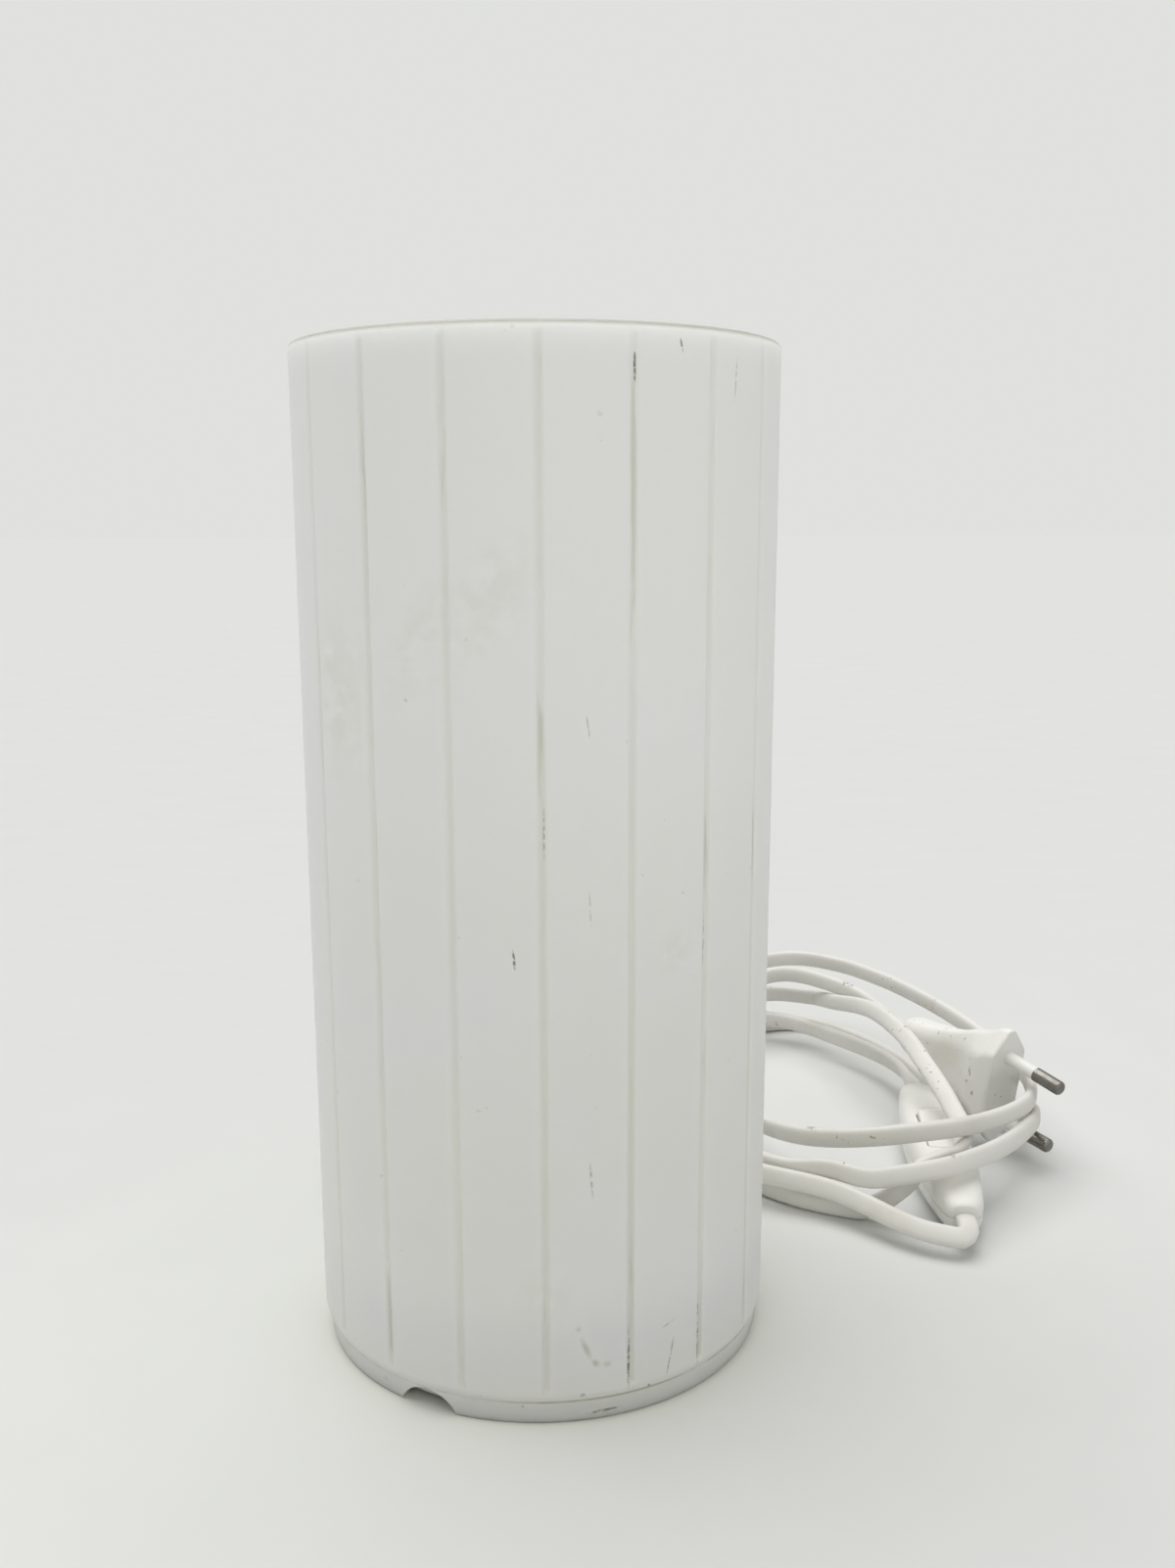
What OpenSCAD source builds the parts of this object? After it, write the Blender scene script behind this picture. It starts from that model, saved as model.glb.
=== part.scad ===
// Accent lamp: a fluted glass cylinder that stands over a moulded base with a lampholder and bulb,
// and a flat flex with a cord switch and a flat two-pin plug.
// Millimetres, +Z up, floor at z = 0, lamp axis at x = y = 0, front towards -Y.

/* [Glass shade] */
// Outer diameter just above the foot band
glass_d = 100; // [85:1:120]
// Height from the floor to the rim
glass_h = 214.5; // [170:0.5:300]
// How much wider the glass is at the rim
glass_flare = 1.6; // [0:0.1:4]
// Wall thickness
glass_wall = 4; // [3:0.1:6]
// Height of the plain foot band
foot_h = 9.5; // [7:0.5:20]
// How far the foot band's lower edge stands in
foot_inset = 1.3; // [0.5:0.1:1.8]
// Number of grooves round the glass
groove_count = 18; // [8:1:30]
// Width of a groove on the surface
groove_w = 2.2; // [1.5:0.1:4]
// Depth of a groove
groove_depth = 0.5; // [0.3:0.1:1.2]
// Plain band between the grooves and the rim
rim_band = 3; // [2.5:0.1:8]
// Width of a cord notch at the floor
notch_w = 13.6; // [10:0.1:18]
// Height of a cord notch
notch_h = 4.6; // [4.4:0.1:8]

/* [Base] */
// Radial gap between the base and the glass
base_gap = 0.6; // [0.3:0.1:2]
// Height of the base's top face
base_h = 24; // [22:0.5:30]
// Rim thickness of the base
base_wall = 2.5; // [2:0.1:4]
// Thickness of the base's top
base_top = 3; // [2:0.1:4]
// Diameter of a rubber foot
pad_d = 11; // [8:0.5:14]
// Thickness of a rubber foot
pad_h = 1.8; // [1.5:0.1:3]

/* [Lampholder] */
// Outer diameter of the threaded tube
nipple_d = 10; // [9.5:0.1:12]
// Bore of the threaded tube
nipple_bore = 8; // [7:0.1:8.5]
// Outer diameter of the lampholder
holder_d = 30; // [29:0.5:36]
// Height of the lampholder over the base
holder_h = 48; // [46:0.5:60]
// Inside diameter of the thread liner
thread_d = 14; // [14:0.1:14.4]

/* [Bulb] */
// Diameter of the bulb's ball
bulb_d = 45; // [35:1:60]
// Glass thickness of the bulb
bulb_wall = 0.8; // [0.5:0.1:1.2]
// Diameter of the screw cap
bulb_cap_d = 13.4; // [13:0.1:13.4]

/* [Cord] */
// Width of the flat flex
cord_w = 5.2; // [4.6:0.1:5.4]
// Thickness of the flat flex
cord_t = 3.2; // [2.6:0.1:3.4]

/* [Cord switch] */
// Length of the housing
switch_l = 77.5; // [72:0.5:84]
// Width of the housing at its middle
switch_w = 17.4; // [16.8:0.1:20]
// Height of the housing at its middle
switch_h = 13.2; // [12.8:0.1:13.4]
// Width of the housing at its ends
switch_end_w = 9.2; // [8.4:0.1:11]
// Height of the housing at its ends
switch_end_h = 8.6; // [7:0.1:10]
// Wall thickness of the housing
switch_wall = 1.6; // [1.2:0.1:1.8]
// Length of the rocker
rocker_l = 20; // [18:0.5:26]
// Width of the rocker
rocker_w = 8.6; // [7:0.1:8.8]
// Tilt of the rocker to each side
rocker_tilt = 6; // [4:0.5:7]

/* [Plug] */
// Length of the moulded body
plug_l = 39; // [37:0.5:42]
// Width of the body across the pins
plug_w = 35.3; // [33:0.1:36]
// Thickness of the body
plug_t = 13.7; // [12:0.1:14]
// Pin diameter
pin_d = 4; // [3.8:0.1:4]
// Pin length in front of the face
pin_l = 19; // [18:0.5:20]
// Pin spacing at the face
pin_root = 18.6; // [17.5:0.1:19]
// Pin spacing at the tips
pin_tip = 17.5; // [17:0.1:18.6]

/* [Hidden] */
$fn = 64;
// Gap of pieces that touch, running clearance of a bearing, and overlap that cuts leave clean
seat = 0.1;
run = 0.06;
cut = 1;

// Glass
glass_r = glass_d / 2;
rim_r = glass_r + glass_flare / 2;
inner_r = glass_r - glass_wall;
draft = atan((rim_r - glass_r) / (glass_h - foot_h));
groove_cutter_r = (groove_w * groove_w / 4 + groove_depth * groove_depth) / (2 * groove_depth);
groove_from = foot_h - 1;
groove_to = glass_h - rim_band;
groove_first = -87.8;
notch_cutter_r = (notch_w * notch_w / 4 + notch_h * notch_h) / (2 * notch_h);
rim_round = 1.8;
foot_round = 0.9;

// Directions of the two cord notches, and the one that the cord uses
cord_a = 62.2;
notch_angles = [cord_a, cord_a + 180];

// Base
base_r = inner_r - base_gap;
base_under = base_h - base_top;
base_lift = 1.2;
boss_r = 11;
boss_drop = 3.5;
pad_ring = base_r - 10.4;
pad_angles = [cord_a + 60, cord_a + 180, cord_a + 300];
pad_boss_d = 10;
pad_stem_d = 4;
pad_stem_l = 5.6;
rib_t = 2;
rib_drop = 7;
rim_cut_w = 9;
rim_cut_h = 7.5;

// Cord clamp under the base
clamp_r = 25;
clamp_depth = 8;
clamp_pitch = 18;
clamp_boss_d = 6.4;
clamp_t = 2.8;
clamp_cord_z = 8;
clamp_screw_d = 2.8;
clamp_head_d = 5.2;
clamp_head_h = 1.8;
clamp_screw_up = 6;
clamp_top_z = clamp_cord_z - cord_t / 2;

// Threaded tube with its washer and nut, from the base's centre boss down
boss_z = base_under - boss_drop;
washer_t = 1;
washer_d = 18;
nut_h = 3.5;
nut_af = 14;
nut_z = boss_z - washer_t - nut_h;
nipple_z = nut_z - 0.5;
nipple_top = base_h + 10;
cord_bend_r = 8;
cord_top = base_h + 15;

// Lampholder heights, counted from the base's top face
neck_d = 17;
neck_top = base_h + 5;
bell_z = base_h + 13;
pocket_z = base_h + 10.5;
pocket_top = base_h + 15;
cap_top = base_h + 22;
wire_hole_d = 6;
spigot_h = 4;
spigot_t = 1.1;
insert_z = base_h + 18.5;
insert_top = base_h + 29;
insert_r = holder_d / 2 - 2.5;
shell_top = base_h + holder_h;
liner_z = insert_top + 3;
liner_t = 0.6;
liner_r = thread_d / 2 + liner_t;
strip_t = 0.5;
strip_w = 4;
button_top = insert_top + 2.2;
terminal_x = insert_r - 3.7;

// Bulb heights, counted from the centre contact
tip_z = button_top + 0.3;
bead_z = tip_z + 1.3;
screw_z = bead_z + 2.7;
collar_z = shell_top + 0.5;
neck_z = collar_z + 1.5;
neck_r = 7.9;
ball_r = bulb_d / 2;
ball_z = neck_z + 9.6 + ball_r;
ball_join = 50;
stem_top = neck_z + 0.4 * (ball_z - neck_z) + 5.5;
filament_z = ball_z - 2;
filament_r = 9;
lead_x = 1.6;
lead_d = 0.7;

// Switch, placed by its centre, its heading from +X and its rise
switch_at = [107, 66, 7.2];
switch_head = 87;
switch_rise = 1.2;
switch_half = switch_h / 2;
switch_crown = 1.6;
switch_corner = 1.6;
// Radius of an arc with half chord l and height s
function bow(l, s) = (l * l + s * s) / (2 * s);
flank_r = bow(switch_l / 2, (switch_w - switch_end_w) / 2);
back_r = bow(switch_l / 2, (switch_h - switch_end_h) / 2);
crown_r = bow(switch_w / 2, switch_crown);
channel_w = cord_w + 0.4;
channel_t = cord_t + 0.3;
cavity_l = 34;
cavity_w = switch_w - 2 * switch_wall - 1.2;
cavity_h = switch_half - switch_wall - 1;
land_l = rocker_l + 10;
land_w = rocker_w + 2.4;
land_t = 0.5;
pivot_z = 2.4;
pivot_d = 2.6;
well_t = 1.5;
well_l = 9;
well_z = -0.6;
rocker_side = 0.35;
rocker_end = 0.9;
rocker_proud = 0.5;
close_x = 21;
close_y = 4.6;
close_d = 2;
close_head_d = 3.8;
close_head_z = 4;
close_up = 3.2;
post_w = 4;
block_l = 5;
block_w = 4.4;
block_h = 3.6;
block_x = 11.5;
block_y = -3.8;
block_screw_d = 2;
leaf_t = 0.4;
leaf_w = 3.2;
leaf_z = -1.6;
leaf_back = 6;

// Plug, placed by the centre of its face, its heading from +X, its pitch and its roll
plug_at = [128.5, 80.4, 19.8];
plug_head = -57.5;
plug_pitch = 8;
plug_roll = -1.8;
plug_chamfer = 7;
plug_ridge = 1.2;
plug_tail_w = 12.4;
plug_tail_t = 9.6;
plug_waist_t = 6.6;
sleeve_d = pin_d - 0.2;
sleeve_l = 10;
sleeve_in = 8;
core_d = 3;
core_in = 12;
pin_toe = atan((pin_root - pin_tip) / 2 / pin_l);

// Unit vector of a heading and a rise, both in degrees
function heading(a, up) = [cos(up) * cos(a), cos(up) * sin(a), sin(up)];
switch_dir = heading(switch_head, switch_rise);
plug_dir = heading(plug_head, -plug_pitch);
switch_near = switch_at - (switch_l / 2 + seat) * switch_dir;
switch_far = switch_at + (switch_l / 2 + seat) * switch_dir;
plug_tail = plug_at - (plug_l + seat) * plug_dir;
clamp_out = (clamp_r + clamp_depth / 2) * heading(cord_a, 0) + [0, 0, clamp_cord_z];

// Route of the flex on the table: point and twist of its flat side, 0 lying flat, 90 on edge
function end_point(p, twist) = [p[0], p[1], p[2], twist];
lamp_route = concat(
    [end_point(clamp_out + 3 * seat * heading(cord_a, 0), 0)],
    [[16.3, 31, 7, 0], [19.1, 36.3, 4.2, 0], [22, 41.8, 2.2, 0], [27.5, 52.5, 2, 5], [34.5, 76.5, 2.8, 75],
     [34.5, 130, 3.2, 90], [38, 149, 4.6, 90], [48, 165.5, 7.2, 90], [61, 173.5, 8.4, 90],
     [73.5, 172.5, 8.4, 90], [96.5, 152, 7.6, 90], [108.5, 126.5, 8.2, 70], [110.2, 114, 8, 25]],
    [end_point(switch_far, 0)]);
plug_route = concat(
    [end_point(switch_near, 0)],
    [[104.8, 22.8, 5.4, 20], [102.4, 19.4, 5.2, 60], [97.6, 20.6, 5.4, 85], [73.5, 40.2, 8, 90],
     [51, 52.5, 9, 90], [41, 64.5, 9.6, 90], [35.5, 82, 10, 90], [34.5, 125.5, 11.4, 90],
     [40, 147.5, 12.8, 90], [50, 164.5, 14.2, 90], [62.5, 175.5, 15.2, 90], [75.5, 178, 15.8, 90],
     [86, 171, 17, 90], [91, 154, 21, 90], [100.8, 114.4, 29, 70], [104.6, 100, 27.8, 55],
     [106.6, 85, 25.8, 40], [110, 66, 20.6, 25], [110.4, 52.5, 17, 25], [107.2, 46.5, 15.8, 45],
     [101.4, 41.2, 16, 75], [96.6, 38.8, 14.8, 90], [91, 37.6, 9.6, 90], [82, 39.5, 3.2, 90],
     [62.5, 49.5, 2.8, 90], [45.5, 74.5, 2.8, 90], [42.5, 116.5, 2.8, 90], [51, 157.5, 2.8, 90],
     [60, 172.5, 2.8, 90], [72, 182.5, 2.8, 90], [84.5, 184.5, 2.8, 90], [100, 171.5, 2.8, 90],
     [112.5, 148.5, 2.8, 90], [119.5, 124, 2.8, 90], [133.5, 95.5, 5.2, 90], [137.5, 83.5, 11.4, 90],
     [134.6, 70.5, 14.6, 90], [121.2, 51, 15.6, 90], [110, 40, 16.6, 90], [101, 34.6, 16.6, 90],
     [92, 34.4, 15, 90], [83, 37.6, 12.4, 90], [62.5, 51, 9.6, 90], [52, 59, 10.2, 90],
     [43, 72.5, 12.4, 90], [37.5, 92, 15.2, 90], [36.5, 114.5, 16.8, 90], [39, 136.5, 18.4, 90],
     [46.5, 157.5, 21, 90], [57, 173.5, 24, 90], [70, 183.5, 25.4, 90], [83.5, 186.5, 26, 90],
     [97.5, 178, 26.2, 90], [109, 164.5, 25.6, 90], [119, 146.5, 24.8, 90], [132.5, 109, 22.4, 90],
     [136.6, 84, 20.6, 90], [133.6, 71.5, 20.4, 90], [116.5, 54, 20.8, 90], [106, 47.4, 21.8, 90],
     [96, 45.6, 21.4, 90], [86, 49, 18.8, 90], [70, 61.5, 13.6, 90], [53.5, 88, 10, 90],
     [45.5, 126.5, 10.4, 90], [52.5, 159, 16.8, 90], [61.5, 170.5, 20, 90], [72.5, 175.5, 22.8, 90],
     [90.5, 155.4, 26.8, 90], [97.6, 147, 25.8, 90], [103.4, 125.4, 25.8, 90], [104, 118.8, 26.2, 90]],
    [end_point(plug_tail, 90)]);

// Eight points of the flex's section: across the flat side, then through its thickness
flex_edge = 0.22 * cord_t;
flex_flat = cord_w / 2 - 0.35 * cord_t;
flex_section = [
    [cord_w / 2, flex_edge], [flex_flat, cord_t / 2], [-flex_flat, cord_t / 2], [-cord_w / 2, flex_edge],
    [-cord_w / 2, -flex_edge], [-flex_flat, -cord_t / 2], [flex_flat, -cord_t / 2], [cord_w / 2, -flex_edge]];

function place(q) = [q[0], q[1], q[2]];
function unit(v) = v / norm(v);
function along(route, i) =
    unit(place(route[min(i + 1, len(route) - 1)]) - place(route[max(i - 1, 0)]));
// One point of ring i, turned by the twist about the route's direction
function ring_point(route, i, k) =
    let (d = along(route, i), side = unit(cross(d, [0, 0, 1])), up = cross(side, d), a = route[i][3])
    let (wide = cos(a) * side + sin(a) * up, thin = cross(wide, d))
    place(route[i]) + flex_section[k][0] * wide + flex_section[k][1] * thin;

// Tube through all rings of a route
module flex(route) {
    n = len(route);
    sides = len(flex_section);
    points = [for (i = [0 : n - 1]) for (k = [0 : sides - 1]) ring_point(route, i, k)];
    near = [for (i = [0 : n - 2]) for (k = [0 : sides - 1])
        [i * sides + k, i * sides + (k + 1) % sides, (i + 1) * sides + (k + 1) % sides]];
    far = [for (i = [0 : n - 2]) for (k = [0 : sides - 1])
        [i * sides + k, (i + 1) * sides + (k + 1) % sides, (i + 1) * sides + k]];
    first_cap = [[for (k = [sides - 1 : -1 : 0]) k]];
    last_cap = [[for (k = [0 : sides - 1]) (n - 1) * sides + k]];
    polyhedron(points, concat(near, far, first_cap, last_cap));
}

// Points of an arc about c, from angle a to angle b
function arc(c, r, a, b, n = 5) =
    [for (i = [0 : n]) let (t = a + (b - a) * i / n) [c[0] + r * cos(t), c[1] + r * sin(t)]];

// Section of the glass wall with its rounded rim, foot band and rounded foot
module glass_section() {
    foot_r = glass_r - foot_inset;
    top_in = rim_r - glass_wall;
    polygon(concat(
        arc([inner_r + foot_round, foot_round], foot_round, 180, 270),
        arc([foot_r - foot_round, foot_round], foot_round, -90, 0),
        [[glass_r - 0.5, foot_h - 0.6], [glass_r, foot_h]],
        arc([rim_r - rim_round, glass_h - rim_round], rim_round, 0, 90),
        arc([top_in + rim_round, glass_h - rim_round], rim_round, 90, 180)));
}

// One groove cutter: a rod with tapered ends that leans with the draft of the glass
module groove_cutter() {
    r = groove_cutter_r;
    l = groove_to - groove_from;
    translate([glass_r + r - groove_depth, 0, groove_from])
        rotate([0, draft, 0])
            rotate_extrude($fn = 32)
                polygon([[0, 0], [0.45 * r, 0.1 * r], [0.85 * r, 0.5 * r], [r, r],
                    [r, l - r], [0.85 * r, l - 0.5 * r], [0.45 * r, l - 0.1 * r], [0, l]]);
}

module glass_shade() color("lightgray")
difference() {
    rotate_extrude($fn = 128) glass_section();
    for (i = [0 : groove_count - 1])
        rotate([0, 0, groove_first + i * 360 / groove_count]) groove_cutter();
    for (a = notch_angles)
        rotate([0, 0, a])
            translate([inner_r - 6, 0, notch_h - notch_cutter_r])
                rotate([0, 90, 0]) cylinder(r = notch_cutter_r, h = glass_wall + 12);
}

// Inverted dish: top, rim and centre boss
module base_section() {
    polygon([[0, boss_z], [boss_r, boss_z], [boss_r + 1, base_under], [base_r - base_wall, base_under],
        [base_r - base_wall + 0.6, base_lift], [base_r, base_lift], [base_r, base_h - 1.5],
        [base_r - 1.5, base_h], [0, base_h]]);
}

module base_plate() color("dimgray")
difference() {
    union() {
        rotate_extrude($fn = 96) base_section();
        for (a = pad_angles)
            rotate([0, 0, a]) translate([pad_ring, 0, pad_h])
                cylinder(d = pad_boss_d, h = base_under + cut - pad_h);
        for (i = [0 : 5])
            rotate([0, 0, cord_a + 30 + 60 * i]) translate([boss_r - cut, -rib_t / 2, base_under - rib_drop])
                cube([base_r - base_wall - boss_r + 2 * cut, rib_t, rib_drop + cut]);
        rotate([0, 0, cord_a]) {
            for (s = [-1, 1])
                translate([clamp_r, s * clamp_pitch / 2, clamp_top_z])
                    cylinder(d = clamp_boss_d, h = base_under + cut - clamp_top_z);
            translate([clamp_r - clamp_depth / 2, -4.5, clamp_cord_z + cord_t / 2])
                cube([clamp_depth, 9, base_under + cut - clamp_cord_z - cord_t / 2]);
        }
    }
    translate([0, 0, boss_z - cut]) cylinder(d = nipple_d + 2 * seat, h = base_h);
    for (a = pad_angles)
        rotate([0, 0, a]) translate([pad_ring, 0, pad_h - cut])
            cylinder(d = pad_stem_d + seat, h = pad_stem_l + 2 * cut);
    rotate([0, 0, cord_a]) {
        for (s = [-1, 1])
            translate([clamp_r, s * clamp_pitch / 2, clamp_top_z - cut])
                cylinder(d = clamp_screw_d + seat, h = clamp_screw_up + 2 * cut);
        translate([base_r - base_wall - 2, -rim_cut_w / 2, 0])
            cube([base_wall + 4, rim_cut_w, rim_cut_h]);
    }
}

module base_feet() color("black")
for (a = pad_angles)
    rotate([0, 0, a]) translate([pad_ring, 0, 0]) {
        cylinder(d = pad_d, h = pad_h);
        translate([0, 0, pad_h]) cylinder(d = pad_stem_d, h = pad_stem_l);
    }

// Bar with round ends across the flex
module cord_clamp() color("dimgray")
rotate([0, 0, cord_a]) translate([clamp_r, 0, clamp_top_z - clamp_t])
difference() {
    union() {
        translate([-clamp_depth / 2, -clamp_pitch / 2, 0]) cube([clamp_depth, clamp_pitch, clamp_t]);
        for (s = [-1, 1]) translate([0, s * clamp_pitch / 2, 0]) cylinder(d = clamp_depth, h = clamp_t);
    }
    for (s = [-1, 1])
        translate([0, s * clamp_pitch / 2, -cut])
            cylinder(d = clamp_screw_d + 2 * seat, h = clamp_t + 2 * cut);
}

module clamp_screws() color("silver")
for (s = [-1, 1])
    rotate([0, 0, cord_a]) translate([clamp_r, s * clamp_pitch / 2, clamp_top_z - clamp_t - clamp_head_h])
        difference() {
            union() {
                cylinder(d = clamp_head_d, h = clamp_head_h);
                cylinder(d = clamp_screw_d, h = clamp_head_h + clamp_t + clamp_screw_up);
            }
            translate([-clamp_head_d, -0.4, -cut]) cube([2 * clamp_head_d, 0.8, cut + 0.9]);
        }

// Flat section of the flex with round edges, its wide side along Y
module flex_outline() {
    square([cord_t, cord_w - cord_t], center = true);
    for (s = [-1, 1]) translate([0, s * (cord_w - cord_t) / 2]) circle(d = cord_t, $fn = 32);
}

// Flex inside the lamp: through the clamp, round a quarter bend and up the threaded tube
module cord_inner() color("white")
rotate([0, 0, cord_a]) {
    bend_z = clamp_cord_z + cord_bend_r;
    translate([cord_bend_r, 0, clamp_cord_z]) rotate([0, 90, 0])
        linear_extrude(clamp_r + clamp_depth / 2 - cord_bend_r) flex_outline();
    translate([cord_bend_r, 0, bend_z]) rotate([-90, 0, 0]) rotate([0, 0, 90])
        rotate_extrude(angle = 90) translate([cord_bend_r, 0]) flex_outline();
    translate([0, 0, bend_z]) linear_extrude(cord_top - bend_z) flex_outline();
}

module nipple_tube() color("silver")
translate([0, 0, nipple_z]) difference() {
    cylinder(d = nipple_d, h = nipple_top - nipple_z);
    translate([0, 0, -cut]) cylinder(d = nipple_bore, h = nipple_top - nipple_z + 2 * cut);
}

module nipple_nut() color("silver")
translate([0, 0, nut_z]) difference() {
    cylinder(d = nut_af / cos(30), h = nut_h, $fn = 6);
    translate([0, 0, -cut]) cylinder(d = nipple_d + seat, h = nut_h + 2 * cut);
}

module nipple_washer() color("silver")
translate([0, 0, boss_z - washer_t]) difference() {
    cylinder(d = washer_d, h = washer_t);
    translate([0, 0, -cut]) cylinder(d = nipple_d + 2 * seat, h = washer_t + 2 * cut);
}

// Lower half of the lampholder: neck on the tube, bell and spigot for the upper half
module lampholder_cap() color("ivory")
rotate_extrude() polygon([
    [nipple_d / 2 + seat, base_h], [neck_d / 2, base_h], [neck_d / 2, neck_top],
    [holder_d / 2, bell_z], [holder_d / 2, cap_top], [insert_r + seat + spigot_t, cap_top],
    [insert_r + seat + spigot_t, cap_top + spigot_h], [insert_r + seat, cap_top + spigot_h],
    [insert_r + seat, insert_z], [insert_r - 0.9, insert_z], [insert_r - 0.9, pocket_top],
    [neck_d / 2 - 0.5, pocket_z], [nipple_d / 2 + seat, pocket_z]]);

module lampholder_insert() color("white")
difference() {
    translate([0, 0, insert_z]) cylinder(r = insert_r, h = insert_top - insert_z);
    translate([0, 0, insert_z - cut]) cylinder(d = wire_hole_d, h = insert_top - insert_z - 3);
    for (s = [-1, 1]) {
        translate([s * terminal_x, 0, insert_z - cut]) cylinder(d = 2.8 + seat, h = 9.5);
        translate([-2.5, s * insert_r - 2, insert_z - cut]) cube([5, 4, insert_top - insert_z + 2 * cut]);
    }
}

// Upper half of the lampholder: skirt over the spigot, top ring and tube for the thread liner
module lampholder_shell() color("ivory")
rotate_extrude() polygon([
    [insert_r + spigot_t + 2 * seat, cap_top], [holder_d / 2, cap_top], [holder_d / 2, shell_top - 1],
    [holder_d / 2 - 1, shell_top], [liner_r + seat / 2, shell_top], [liner_r + seat / 2, liner_z],
    [liner_r + 1.6, liner_z], [liner_r + 1.6, shell_top - 2], [insert_r + 0.7, shell_top - 2],
    [insert_r + 0.7, cap_top + spigot_h + 0.2], [insert_r + spigot_t + 2 * seat, cap_top + spigot_h + 0.2]]);

module thread_sleeve() color("silver")
translate([0, 0, liner_z]) difference() {
    cylinder(r = liner_r, h = shell_top - 1 - liner_z);
    translate([0, 0, -cut]) cylinder(d = thread_d, h = shell_top);
}

module centre_contact() color("gold")
translate([0, 0, insert_top]) {
    translate([-insert_r + 2, -strip_w / 2, 0]) cube([insert_r, strip_w, strip_t]);
    cylinder(d = 3.6, h = button_top - insert_top);
}

module side_contact() color("gold")
translate([thread_d / 2, -strip_w / 2, insert_top]) {
    cube([4, strip_w, strip_t]);
    cube([strip_t, strip_w, liner_z - insert_top]);
}

module holder_terminal_screws() color("silver")
for (s = [-1, 1])
    translate([s * terminal_x, 0, insert_z - 1.6]) {
        cylinder(d = 4.4, h = 1.6);
        cylinder(d = 2.8, h = 8.6);
    }

// Ball and neck of the bulb as one outline, inset by the given thickness
module bulb_outline(inset) {
    join = [cos(ball_join), -sin(ball_join)] * (ball_r - inset);
    intersection() {
        union() {
            translate([0, ball_z]) circle(r = ball_r - inset);
            polygon([[0, neck_z - inset], [neck_r - inset, neck_z - inset], [neck_r + 0.4 - inset, neck_z + 5],
                [join[0], ball_z + join[1]], [0, ball_z]]);
        }
        translate([0, neck_z - cut]) square([2 * ball_r, 3 * ball_r + 20]);
    }
}

module bulb_envelope() color("whitesmoke")
rotate_extrude() difference() {
    bulb_outline(0);
    bulb_outline(bulb_wall);
}

module bulb_cap() color("goldenrod")
rotate_extrude() {
    r = bulb_cap_d / 2;
    polygon([[3.4, screw_z], [r - 0.7, screw_z], [r, screw_z + 0.8], [r, collar_z],
        [neck_r + 0.7, collar_z + 1], [neck_r + 0.7, neck_z + 1], [neck_r + seat, neck_z + 1],
        [neck_r + seat, neck_z - seat], [r - 0.5, collar_z + 0.6], [r - 0.5, screw_z + 1.1], [3.4, screw_z + 0.5]]);
}

module bulb_insulator() color("black")
translate([0, 0, bead_z]) cylinder(d1 = 6.4, d2 = bulb_cap_d - 1.4, h = screw_z - bead_z);

module bulb_contact() color("silver")
translate([0, 0, tip_z]) cylinder(d1 = 3.6, d2 = 4.8, h = bead_z - tip_z);

// Glass stem: a flare that seats in the neck and a rod
module bulb_stem() color("whitesmoke")
rotate_extrude() polygon([[0, neck_z + 0.2], [neck_r - bulb_wall - 0.3, neck_z + 0.2],
    [neck_r - bulb_wall - 0.2, neck_z + 1], [3.2, neck_z + 6], [2.4, stem_top - 0.6], [1.6, stem_top], [0, stem_top]]);

// Half ring of filament on two slanted leads
module bulb_filament() color("gray") {
    rise = filament_z - stem_top - seat;
    lean = atan((filament_r - lead_x) / rise);
    translate([0, 0, filament_z]) rotate_extrude(angle = 180)
        translate([filament_r, 0]) circle(d = 1.2, $fn = 24);
    for (s = [-1, 1])
        translate([s * lead_x, 0, stem_top + seat]) rotate([0, s * lean, 0])
            cylinder(d = lead_d, h = rise / cos(lean), $fn = 16);
}

// Puts the switch, drawn about its centre with the flex along X, into its place
module in_switch() translate(switch_at) rotate([0, -switch_rise, switch_head]) children();

// Plan of the housing: two bowed flanks, cut off at the ends with small corners
module switch_plan() {
    l = switch_l / 2;
    w = switch_end_w / 2;
    c = switch_corner;
    intersection() {
        translate([0, flank_r - switch_w / 2]) circle(r = flank_r, $fn = 180);
        translate([0, switch_w / 2 - flank_r]) circle(r = flank_r, $fn = 180);
        polygon([[-l, w - c], [-l + c, w + 1], [-l + c, switch_w], [l - c, switch_w], [l - c, w + 1], [l, w - c],
            [l, c - w], [l - c, -w - 1], [l - c, -switch_w], [-l + c, -switch_w], [-l + c, -w - 1], [-l, c - w]]);
    }
}

// Solid half of the housing over the parting plane, bowed along and crowned across
module switch_half_shell() intersection() {
    linear_extrude(switch_half) switch_plan();
    rotate([90, 0, 0]) translate([0, switch_half - back_r, -switch_w])
        cylinder(r = back_r, h = 2 * switch_w, $fn = 180);
    rotate([90, 0, 90]) translate([0, switch_half - crown_r, -switch_l])
        cylinder(r = crown_r, h = 2 * switch_l, $fn = 180);
}

// What both halves leave out: the cavity and the two flex channels
module switch_hollow() {
    translate([-cavity_l / 2, -cavity_w / 2, -cut]) cube([cavity_l, cavity_w, cavity_h + cut]);
    for (s = [-1, 1])
        translate([s * (switch_l + cavity_l) / 4, 0, 0])
            cube([(switch_l - cavity_l) / 2 + 2 * cut, channel_w, channel_t], center = true);
}

// Places of the two closing screws, on opposite corners
module at_closings() for (s = [-1, 1]) translate([s * close_x, s * close_y, 0]) children();

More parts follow.
